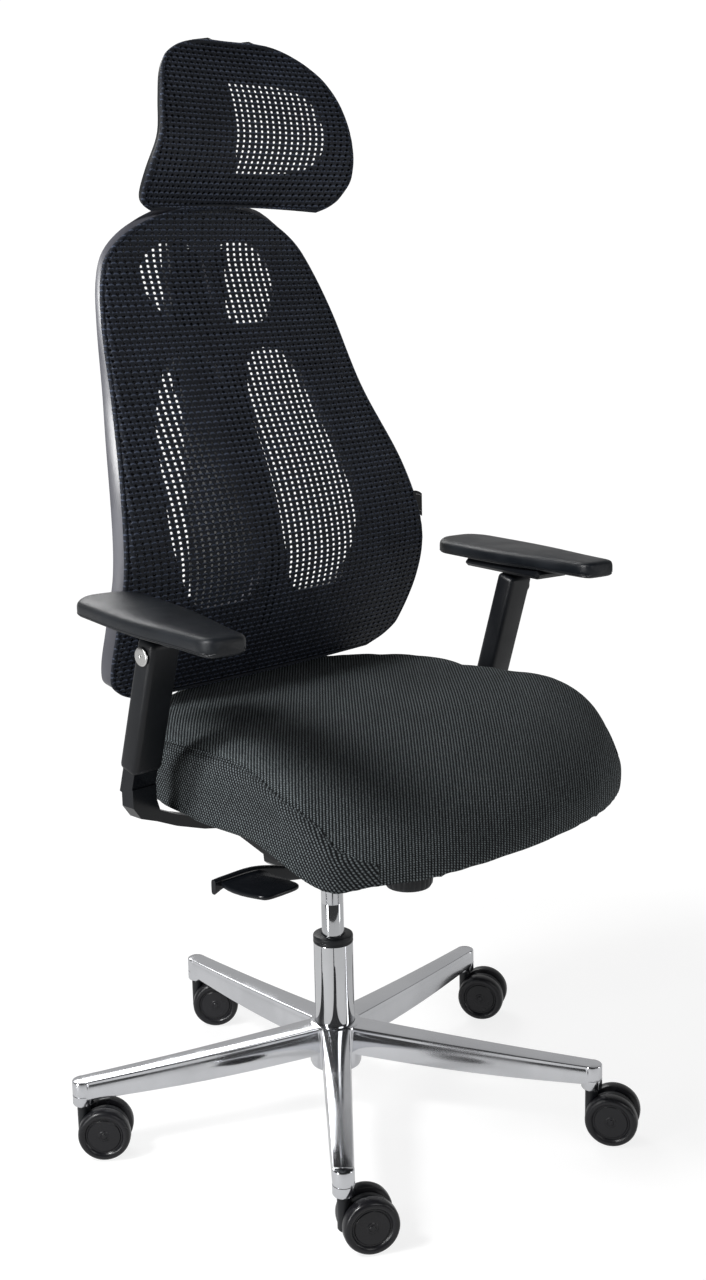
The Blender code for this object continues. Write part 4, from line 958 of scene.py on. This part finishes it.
# ---------------------------------------------------------------- back and headrest
def stretch_knit(frame_piece, part, point, grid, margins, rim, piping, look, mesh_node):
    """The knit sheet over a frame, and the cord sewn round its rim."""
    side, foot = margins

    def cover(s, t):
        return point((2 * s - 1) * side, foot + (1 - 2 * foot) * round_ends(t), 0.0)

    body, wide = part
    name = frame_piece.name.replace("_frame", "")
    knit = skin(f"{name}_knit_sheet", *grid, cover)
    thicken(knit, KNIT_THICK)
    hand_over(knit, body, look, [mesh_node], 180)
    cord = pipe(f"{name}_rim_cord", outline(point, *rim), piping, 8, closed=True)
    hand_over(cord, body, "piping_cloth", (), 80)


class ChairBack(bpy.types.Operator):
    """Models the back frame with its windows, the knit over it and the cord round its rim."""
    bl_idname = "chair.back"
    bl_label = "Back"

    def execute(self, context):
        def dish(u, share):
            # the frame meets the knit at its rim and lies well behind it inside
            rim = (1 - abs(u) ** 6) * (1 - abs(2 * share - 1) ** 12)
            return 0.0052 + (0.020 - 0.010 * smooth_step((share - 0.50) / 0.25)) * smooth_step(rim * 1.6)

        def shell(s, t):
            share = round_ends(t)
            return back_point(2 * s - 1, share, dish(2 * s - 1, share))

        body = skin("back_frame", 56, 90, shell)
        thicken(body, 0.015, 1.0 if body.data.polygons[0].normal.y > 0 else -1.0)
        for vert in body.data.vertices:
            share = min(1.0, max(0.0, (vert.co.z - BACK_LOW) / BACK_TALL))
            u = max(-1.0, min(1.0, (vert.co.x - COLUMN.x) / (BACK_HALF * read_stations(BACK_STATIONS,
                    share, 1))))
            front = back_point(u, share, dish(u, share)).y
            keep = 1.0 - 0.55 * smooth_step((share - 0.45) / 0.35)
            vert.co.y = front + (vert.co.y - front) * keep
        tidy_mesh(body)
        lower = [(0.034, 0.165), (0.130, 0.170), (0.166, 0.320), (0.140, 0.560), (0.098, 0.700), (0.022,
                0.700),
                 (0.008, 0.470), (0.012, 0.280)]
        upper = [(0.004, 0.750), (0.078, 0.752), (0.116, 0.850), (0.084, 0.930), (0.004, 0.925)]
        for side in (-1, 1):
            for corners in (lower, upper):
                shape = [(COLUMN.x + side * x, BACK_LOW + BACK_TALL * z) for x, z in corners]
                cut(body, prism("window", shape, 0.0, 0.32))
        tidy_mesh(body)
        round_edges(body, 0.0022, 3, 50)
        rear = join([self.spine(), self.guide()], "back_spine")
        hand_over(rear, "backrest", "moulded_black", (), 40)
        hand_over(body, "backrest", "back_frame_satin", ["back_shell"], 40)
        stretch_knit(body, ("backrest", 2 * BACK_HALF), back_point, (48, 96), (0.992, 0.004), (90, 0.0024),
                     sizes().piping, "back_knit", "back_mesh")
        self.tag()
        return {'FINISHED'}

    def spine(self):
        """The hollow rib behind the frame, round the back bar's blade."""
        def form(s, t):
            share = 0.105 + 0.585 * t
            z = BACK_LOW + BACK_TALL * share
            front = back_point(0.0, share, 0.010).y
            front += 0.014 - 0.008 * smooth_step((share - 0.50) / 0.25)
            rear = max(COLUMN.y + 0.194, front + 0.006)
            loop = ((-0.012, 0.0), (0.012, 0.0), (0.050, 0.80), (0.056, 0.92), (0.050, 1.0), (-0.050, 1.0),
                    (-0.056, 0.92), (-0.050, 0.80))
            x, deep = loop[round(s * 8) % 8]
            return Vector((COLUMN.x + x, front + (rear - front) * deep, z))

        rib = skin("spine", 8, 30, form, closed=True, caps=True)
        blade_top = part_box("back_bar")[1][2]
        cut(rib, plain_box("slot", (0.0562, 0.0112, 0.300), COLUMN + Vector((0, 0.155, blade_top +
                0.004 - 0.150))))
        return round_edges(tidy_mesh(rib), 0.0012, 2, 45)

    def guide(self):
        """The sleeve that the headrest's posts slide in, on a foot from the frame."""
        z = BACK_LOW + BACK_TALL - 0.1675
        front = back_point(0.0, (z - BACK_LOW) / BACK_TALL, 0.019).y
        foot = block("guide_foot", (0.060, COLUMN.y + 0.2135 - front, 0.040), Vector((
            COLUMN.x, (front + COLUMN.y + 0.2135) / 2, z)), None, 0.003)
        sleeve = block("guide", (0.090, 0.0190, 0.150), COLUMN + Vector((0, 0.2220, z + 0.044)), None, 0.0035)
        for side in (-1, 1):
            cut(sleeve, plain_box("slot", (0.0272, 0.0092, 0.3), COLUMN + Vector((side * 0.026, 0.2215, z))))
        return join([sleeve, foot], "guide")

    def tag(self):
        """A small plain cloth tab sewn into the rim."""
        share = 0.335
        start = back_point(0.985, share, 0.001)

        def form(s, t):
            fold = 0.0015 * math.sin(math.pi * s) * (1 - t)
            return start + Vector((0.020 * s, 0.004 * s + fold, 0.030 * (t - 0.5) - 0.006 * s * s))

        tab = skin("rim_tag", 12, 12, form)
        thicken(tab, 0.0011)
        hand_over(tab, "backrest", "tag_cloth", (), 60)
        rows = []
        for z in (-0.0105, 0.0105):
            rows.append(pipe("row", [start + Vector((0.003 + 0.0014 * i, 0.0006 * i / 3 - 0.0010,
                    z - 0.006 * (
                (0.003 + 0.0014 * i) / 0.020) ** 2)) for i in range(11)], 0.0003, 5))
        thread = join(rows, "tag_thread")
        hand_over(thread, "backrest", "tag_stitch", (), 80)


class ChairHeadrest(bpy.types.Operator):
    """Models the headrest's frame, knit, rim cord and carrier."""
    bl_idname = "chair.headrest"
    bl_label = "Headrest"

    def execute(self, context):
        def shell(s, t):
            return head_point(2 * s - 1, round_ends(t), 0.0046)

        body = skin("headrest_frame", 40, 40, shell)
        thicken(body, 0.0058, 1.0 if body.data.polygons[0].normal.y > 0 else -1.0)
        tidy_mesh(body)
        window = [(-0.098, 0.190), (0.098, 0.190), (0.122, 0.390), (0.100, 0.750), (-0.100, 0.750),
                (-0.122, 0.390)]
        cut(body, prism("window", [(COLUMN.x + x, HEAD_LOW + HEAD_TALL * z) for x, z in window], 0.0, 0.32))
        tidy_mesh(body)
        round_edges(body, 0.0014, 2, 50)
        body = join([body] + self.mount(), "headrest_frame")
        hand_over(body, "headrest", "moulded_black", ["headrest_shell"], 40)
        stretch_knit(body, ("headrest", 2 * HEAD_HALF), head_point, (40, 44), (0.988, 0.008), (50, 0.0022),
                     sizes().piping * 0.95, "head_knit", "headrest_mesh")
        return {'FINISHED'}

    def mount(self):
        """The plate behind the knit that carries the tilt pin, and the foot that joins it to the frame."""
        pivot = Vector(JOINTS["headrest_tilt"]["pos_m"])
        face = COLUMN.y + 0.1835
        outline_xz = [(-0.042, -0.068), (0.042, -0.068), (0.046, 0.0), (0.040, 0.074), (-0.040, 0.074),
                (-0.046, 0.0)]
        plate = prism("mount", [(COLUMN.x + x, pivot.z + z) for x, z in outline_xz], face, face + 0.007)
        round_edges(plate, 0.0020, 3, 45)
        low = head_point(0.0, 0.085, 0.0075)
        foot = block("mount_foot", (0.058, face + 0.004 - low.y, 0.010), Vector((
            COLUMN.x, (low.y + face + 0.004) / 2, pivot.z - 0.060)), None, 0.003)
        pieces = [plate, foot]
        for side in (-1, 1):
            x = COLUMN.x + side * 0.0268
            lug = block("lug", (0.008, pivot.y + 0.009 - face - 0.002, 0.019), Vector((
                x, (face + 0.002 + pivot.y + 0.009) / 2, pivot.z)), None, 0.003)
            bore = begin("bore", bpy.ops.mesh.primitive_cylinder_add, vertices=24, radius=0.0043, depth=0.03,
                         location=(x, pivot.y, pivot.z), rotation=(0, math.pi / 2, 0))
            settle(bore)
            cut(lug, bore)
            pieces.append(lug)
        return pieces


# ---------------------------------------------------------------- arms
class ChairArms(bpy.types.Operator):
    """Models the arm pads with their seams, the post sleeves and the release buttons."""
    bl_idname = "chair.arms"
    bl_label = "Arms"

    def execute(self, context):
        for side, word in ((-1, "right"), (1, "left")):
            self.sleeve(word)
            self.pad(word)
            self.button(side, word)
        return {'FINISHED'}

    def sleeve(self, word):
        low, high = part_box(f"arm_sleeve_{word}")
        up = Vector(JOINTS[f"arm_height_{word}"]["axis"]).normalized()
        lean = Matrix.Rotation(math.atan2(-up.y, up.z), 4, 'X')
        middle = (Vector(low) + Vector(high)) / 2
        shape = block("sleeve", (0.041, 0.028, 0.160), middle, lean, 0.0065, 4)
        hollow = begin("hollow", bpy.ops.mesh.primitive_cube_add, size=1.0)
        hollow.matrix_world = Matrix.Translation(middle - up * 0.006) @ lean @ Matrix.Diagonal((0.034,
                0.021, 0.160, 1))
        settle(hollow)
        cut(shape, hollow)
        shape.name = f"arm_post_{word}"
        hand_over(shape, f"arm_{word}", "moulded_black", [f"arm_sleeve_{word}"], 40)

    def pad(self, word):
        low, high = (Vector(corner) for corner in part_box(f"arm_pad_{word}"))
        forward = Vector(JOINTS[f"pad_slide_{word}"]["axis"]).normalized()
        right = Vector((-forward.y, forward.x, 0.0))
        middle = (low + high) / 2
        long, wide, top = 0.1505, 0.0425, high.z

        def half_width(t):
            # wide at the rear third, straight taper to a cut-off front
            body = 0.86 + 0.14 * smooth_step((1 - t) * 2.2)
            taper = 1.0 - 0.30 * smooth_step((t - 0.35) / 0.65)
            nose = (1 - max(0.0, (t - 0.93) / 0.07) ** 2.6 * 0.34)
            tail = (1 - max(0.0, (0.13 - t) / 0.13) ** 2.4 * 0.60)
            return wide * body * taper * nose * tail

        def end_share(t):
            """From 0 to 1 over the rounded ends of the pad."""
            return (1 - (1 - min(1.0, t / 0.05, (1 - t) / 0.03)) ** 2) ** 0.5

        def edge(t):
            return half_width(t) * (0.90 + 0.10 * end_share(t))

        def form(s, t):
            turn = s * math.tau
            c, z = math.cos(turn), math.sin(turn)
            across = math.copysign(abs(c) ** 0.42, c)
            rise = math.copysign(abs(z) ** (0.62 if z > 0 else 0.40), z)
            width = edge(t)
            thick = 0.0118 * (0.62 + 0.38 * end_share(t))
            spot = middle + forward * long * (2 * t - 1) + right * across * width
            seam = 0.0009 if -0.62 < rise < -0.50 else 0.0
            spot -= right * math.copysign(seam, across) if abs(across) > 0.6 else Vector((0, 0, 0))
            spot.z = top - 0.0116 + rise * thick * (0.90 if z > 0 else 0.86)
            return spot

        pad = skin("pad", 64, 90, form, closed=True, caps=True)
        pad.name = f"arm_pad_skin_{word}"
        tidy_mesh(pad, 0.00005)
        hand_over(pad, f"arm_pad_{word}", "arm_pad_skin", [f"arm_pad_{word}"], 60)
        rim = [(0.02 + 0.96 * i / 60, 1) for i in range(61)] + [(0.98 - 0.96 * i / 60, -1) for i in range(61)]
        line = []
        for t, sign in rim:
            spot = middle + forward * long * (2 * t - 1) + right * sign * (edge(t) - 0.0006)
            spot.z = top - 0.0166
            line.append(spot)
        seam = pipe(f"arm_pad_seam_{word}", line, 0.0008, 6, closed=True)
        hand_over(seam, f"arm_pad_{word}", "moulded_black", (), 80)

    def button(self, side, word):
        low, high = (Vector(corner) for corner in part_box(f"arm_button_{word}"))
        middle = (low + high) / 2
        outer = low.x if side < 0 else high.x
        facing = Matrix.Rotation(side * math.pi / 2, 4, 'Y')
        disc = turned(f"arm_release_{word}", [
            (0.0, 0.0), (0.0014, 0.0), (0.0019, -0.0004), (0.0021, -0.0016), (0.0060, -0.0018), (0.0088,
                    -0.0017),
            (0.0098, -0.0021), (0.0104, -0.0028), (0.0104, -0.0033), (0.0074, -0.0033), (0.0074, -0.0074),
            (0.0, -0.0074)], Vector((outer, middle.y, middle.z)), 48, facing)
        hand_over(disc, f"arm_button_{word}", "button_silver", [f"arm_button_{word}"], 40)


# ---------------------------------------------------------------- levers and knob
class ChairControls(bpy.types.Operator):
    """Models the levers under the seat and the tension knob."""
    bl_idname = "chair.controls"
    bl_label = "Levers and knob"

    def execute(self, context):
        knob = JOINTS["tension_knob_turn"]["pos_m"]
        low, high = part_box("tension_knob")

        def grip(s, t):
            turn = s * math.tau
            rows = ((0.0, low[2]), (0.020, low[2]), (0.0265, low[2] + 0.0012), (0.0290, low[2] + 0.0050),
                    (0.0298, low[2] + 0.0120), (0.0298, low[2] + 0.0230), (0.0285, low[2] + 0.0290),
                    (0.0270, low[2] + 0.0303), (0.0060, low[2] + 0.0303), (0.0060, high[2]), (0.0, high[2]))
            radius, z = rows[round(t * (len(rows) - 1))]
            if 0.027 < radius and low[2] + 0.003 < z < low[2] + 0.028:
                radius -= 0.0010 * (0.5 + 0.5 * math.cos(turn * 24)) ** 3
            return Vector((knob[0] + radius * math.cos(turn), knob[1] + radius * math.sin(turn), z))

        piece = skin("tension_knob_grip", 144, 10, grip, closed=True)
        tidy_mesh(piece)
        hand_over(piece, "tension_knob", "moulded_black", ["tension_knob"], 35)
        for side, node in ((-1, "height_lever"), (1, "tilt_lock_lever")):
            self.lever(side, node)
        return {'FINISHED'}

    def lever(self, side, node):
        low, high = (Vector(corner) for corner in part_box(node))
        hinge = Vector(JOINTS["height_lever_lift" if side < 0 else "tilt_lock_lift"]["pos_m"])
        reach = abs((low.x if side < 0 else high.x) - COLUMN.x)
        front, rear = low.y, high.y

        def wedge(s, t):
            # a flat arm that deepens towards the paddle and hooks down at its end
            stations = ((0.000, 0.043, hinge.y, 0.3640, 0.0036, 0.0036), (0.180, 0.090, hinge.y, 0.3650,
                    0.0038, 0.0048),
                        (0.450, 0.140, hinge.y + 0.004, 0.3735, 0.0045, 0.0085),
                        (0.720, 0.190, rear - 0.008, 0.3835, 0.0050, 0.0085),
                        (0.930, 0.238, rear - 0.007, 0.3865, 0.0046, 0.0062),
                        (1.000, reach, rear - 0.007, 0.3840, 0.0036, 0.0085))
            values = [read_stations(stations, t, column) for column in range(1, 6)]
            turn = s * math.tau
            across = math.copysign(abs(math.cos(turn)) ** 0.5, math.cos(turn))
            rise = math.copysign(abs(math.sin(turn)) ** 0.5, math.sin(turn))
            return Vector((COLUMN.x + side * values[0], values[1] + across * values[3], values[2] + rise *
                    values[4]))

        arm = skin("wedge", 28, 48, wedge, closed=True, caps=True)
        corners = ((reach - 0.070, rear - 0.003), (reach - 0.001, rear - 0.003), (reach - 0.010, front +
                0.006),
                   (reach - 0.020, front + 0.001), (reach - 0.060, front + 0.001), (reach - 0.068, front +
                           0.008))
        plate = prism("plate", [(x, y) for x, y in corners], -0.0028, 0.0022)
        for vert in plate.data.vertices:
            x, lift, y = vert.co
            across = (y - front) / (rear - front)
            dish = -0.0022 * (1 - across) ** 2 + 0.0012 * math.cos(math.tau * across)
            vert.co = (COLUMN.x + side * x, y, 0.3862 + lift + dish)
        tidy_mesh(plate)
        round_edges(plate, 0.0018, 3, 45)
        piece = join([arm, plate], f"{node}_grip")
        hand_over(piece, node, "semi_gloss_black", [node], 45)


# ---------------------------------------------------------------- carried-over frame nodes
class ChairFrame(bpy.types.Operator):
    """Gives the frame's own nodes their finishes."""
    bl_idname = "chair.frame_finishes"
    bl_label = "Frame finishes"

    def execute(self, context):
        looks = {
            "semi_gloss_black": ("mechanism_housing", "back_bar", "arm_bracket_right", "arm_bracket_left"),
            "bright_steel": ("thrust_bearing", "piston_rod", "release_pin", "seat_tilt_pin",
                    "back_tilt_pin_right",
                             "back_tilt_pin_left", "tension_spring", "seat_plate", "headrest_pin"),
            "moulded_black": ("seat_pan", "headrest_carrier", "pad_base_right", "pad_base_left"),
        }
        for k in range(1, 6):
            looks["bright_steel"] += (f"castor_stem_{k}", f"castor_axle_{k}")
        for look, names in looks.items():
            for name in names:
                piece = frame["nodes"][name]
                if not piece.material_slots:
                    raise ValueError(f"{name} has no material slot")
                for slot in piece.material_slots:
                    slot.material = finish(look)
        return {'FINISHED'}


# ---------------------------------------------------------------- stage
FLOOR_WIDE = 60.0
# (name, place, height that it aims at, disc's width or strip's two sides, watts)
LIGHTS = (
    ("key", (-2.3, 0.5, 2.7), 0.6, 0.7, 88.0), ("near_fill", (-0.4, -3.0, 2.1), 0.5, 1.6, 15.0),
    ("left_strip", (-2.9, 0.2, 0.9), 0.6, (0.5, 2.0), 34.0), ("right_strip", (1.6, -2.6, 0.8), 0.3, (0.5,
            1.8), 9.0),
    ("rear", (1.2, 2.8, 2.6), 0.7, 1.6, 30.0))
CAMERA_PLACE = (-1.379, -1.431, 1.044)
CAMERA_TURN, CAMERA_DIP, CAMERA_ROLL = 43.943, 11.968, -1.42
CAMERA_LENS = 47.08
CAMERA_SHIFT = (0.0214, -0.0063)


class ChairStage(bpy.types.Operator):
    """Sets the floor, the soft lights and the camera."""
    bl_idname = "chair.stage"
    bl_label = "Stage"

    def execute(self, context):
        floor = begin("studio_floor", bpy.ops.mesh.primitive_grid_add, x_subdivisions=8, y_subdivisions=8,
                size=FLOOR_WIDE,
                      location=(0, 0, -0.0004))
        settle(floor)
        look, shader, w = new_finish("floor_paper", tuple(colours().floor), 0.85)
        grain = group_node(w, "moulded_grain", Scale=400.0, Depth=0.4)
        x, y, _ = axes_of(w)
        far = w.math('SQRT', w.plus(w.times(x, x), w.times(y, y)))
        reach = w.ramp(far, 0.45, 1.5)
        paper = tuple(c * 0.24 for c in colours().floor)
        two_tone(w, shader, reach, paper, (0.0, 0.0, 0.0))
        shader.inputs['Emission Color'].default_value = (1.0, 1.0, 1.0, 1.0)
        seen = w.node('ShaderNodeLightPath').outputs['Is Camera Ray']
        glow = w.plus(w.ramp(reach, 0.0, 1.0, 0.82, 1.02), w.times(grain['Handling'], 0.004))
        w.link(w.times(glow, w.ramp(seen, 0.0, 1.0, 0.50, 1.0)), shader.inputs['Emission Strength'])
        floor.data.materials.append(look)
        for lamp in LIGHTS:
            self.light(*lamp)
        world = bpy.data.worlds.new("studio")
        world.use_nodes = True
        context.scene.world = world
        tree = world.node_tree
        w = Wiring(tree)
        back = tree.nodes["Background"]
        seen = w.node('ShaderNodeLightPath').outputs['Is Camera Ray']
        facing = w.node('ShaderNodeVectorMath', operation='DOT_PRODUCT')
        w.link(w.node('ShaderNodeTexCoord').outputs['Generated'], facing.inputs[0])
        facing.inputs[1].default_value = (0.69, 0.72, 0.0)
        room = w.ramp(facing.outputs['Value'], 0.05, 0.85, 0.05, 0.42)
        gain = w.plus(room, w.times(seen, 1.0))
        w.link(w.math('MINIMUM', gain, 1.05), back.inputs['Strength'])
        back.inputs['Color'].default_value = (1.0, 1.0, 1.0, 1.0)
        context.scene.view_settings.view_transform = 'Standard'
        self.camera(context)
        return {'FINISHED'}

    def light(self, name, place, aim_height, size, power):
        data = bpy.data.lights.new(name, 'AREA')
        if isinstance(size, tuple):
            data.shape = 'RECTANGLE'
            data.size, data.size_y = size
        else:
            data.shape = 'DISK'
            data.size = size
        data.energy = power
        lamp = bpy.data.objects.new(name, data)
        bpy.context.scene.collection.objects.link(lamp)
        lamp.location = place
        lamp.rotation_euler = (Vector((0.0, 0.0, aim_height)) - Vector(place)).to_track_quat('-Z',
                'Y').to_euler()

    def camera(self, context):
        data = bpy.data.cameras.new("view")
        eye = bpy.data.objects.new("view", data)
        context.scene.collection.objects.link(eye)
        eye.location = COLUMN + Vector(CAMERA_PLACE)
        turn, dip = math.radians(CAMERA_TURN), math.radians(CAMERA_DIP)
        ahead = Vector((math.sin(turn) * math.cos(dip), math.cos(turn) * math.cos(dip), -math.sin(dip)))
        level = ahead.to_track_quat('-Z', 'Y').to_matrix().to_4x4()
        roll = Matrix.Rotation(math.radians(CAMERA_ROLL), 4, 'Z')
        eye.rotation_euler = (level @ roll).to_euler()
        data.sensor_fit = 'VERTICAL'
        data.sensor_height = 36.0
        data.lens = CAMERA_LENS
        data.shift_x, data.shift_y = CAMERA_SHIFT
        data.clip_end = FLOOR_WIDE
        context.scene.camera = eye


# ---------------------------------------------------------------- panel
OPERATORS = (ChairFrame, ChairBase, ChairCastors, ChairColumn, ChairSeat, ChairBack, ChairHeadrest, ChairArms,
             ChairControls, ChairStage)


class ChairPanel(bpy.types.Panel):
    """Lists the chair's sizes, colours and pieces."""
    bl_idname = "VIEW3D_PT_swivel_chair"
    bl_label = "Swivel chair"
    bl_space_type = 'VIEW_3D'
    bl_region_type = 'UI'
    bl_category = "Chair"

    def draw(self, context):
        layout = self.layout
        for group in (context.scene.chair_sizes, context.scene.chair_colours):
            for name in group.__annotations__:
                layout.prop(group, name)
        for operator in OPERATORS:
            layout.operator(operator.bl_idname)


CLASSES = (ChairSizes, ChairColours) + OPERATORS + (ChairPanel,)


def register():
    for item in CLASSES:
        bpy.utils.register_class(item)
    bpy.types.Scene.chair_sizes = bpy.props.PointerProperty(type=ChairSizes)
    bpy.types.Scene.chair_colours = bpy.props.PointerProperty(type=ChairColours)


def unregister():
    del bpy.types.Scene.chair_sizes
    del bpy.types.Scene.chair_colours
    for item in reversed(CLASSES):
        bpy.utils.unregister_class(item)


def main():
    register()
    bpy.ops.chair.frame_finishes()
    bpy.ops.chair.base()
    bpy.ops.chair.castors()
    bpy.ops.chair.column()
    bpy.ops.chair.seat()
    bpy.ops.chair.back()
    bpy.ops.chair.headrest()
    bpy.ops.chair.arms()
    bpy.ops.chair.controls()
    bpy.ops.chair.stage()
    object_mode()


if __name__ == "__main__":
    main()
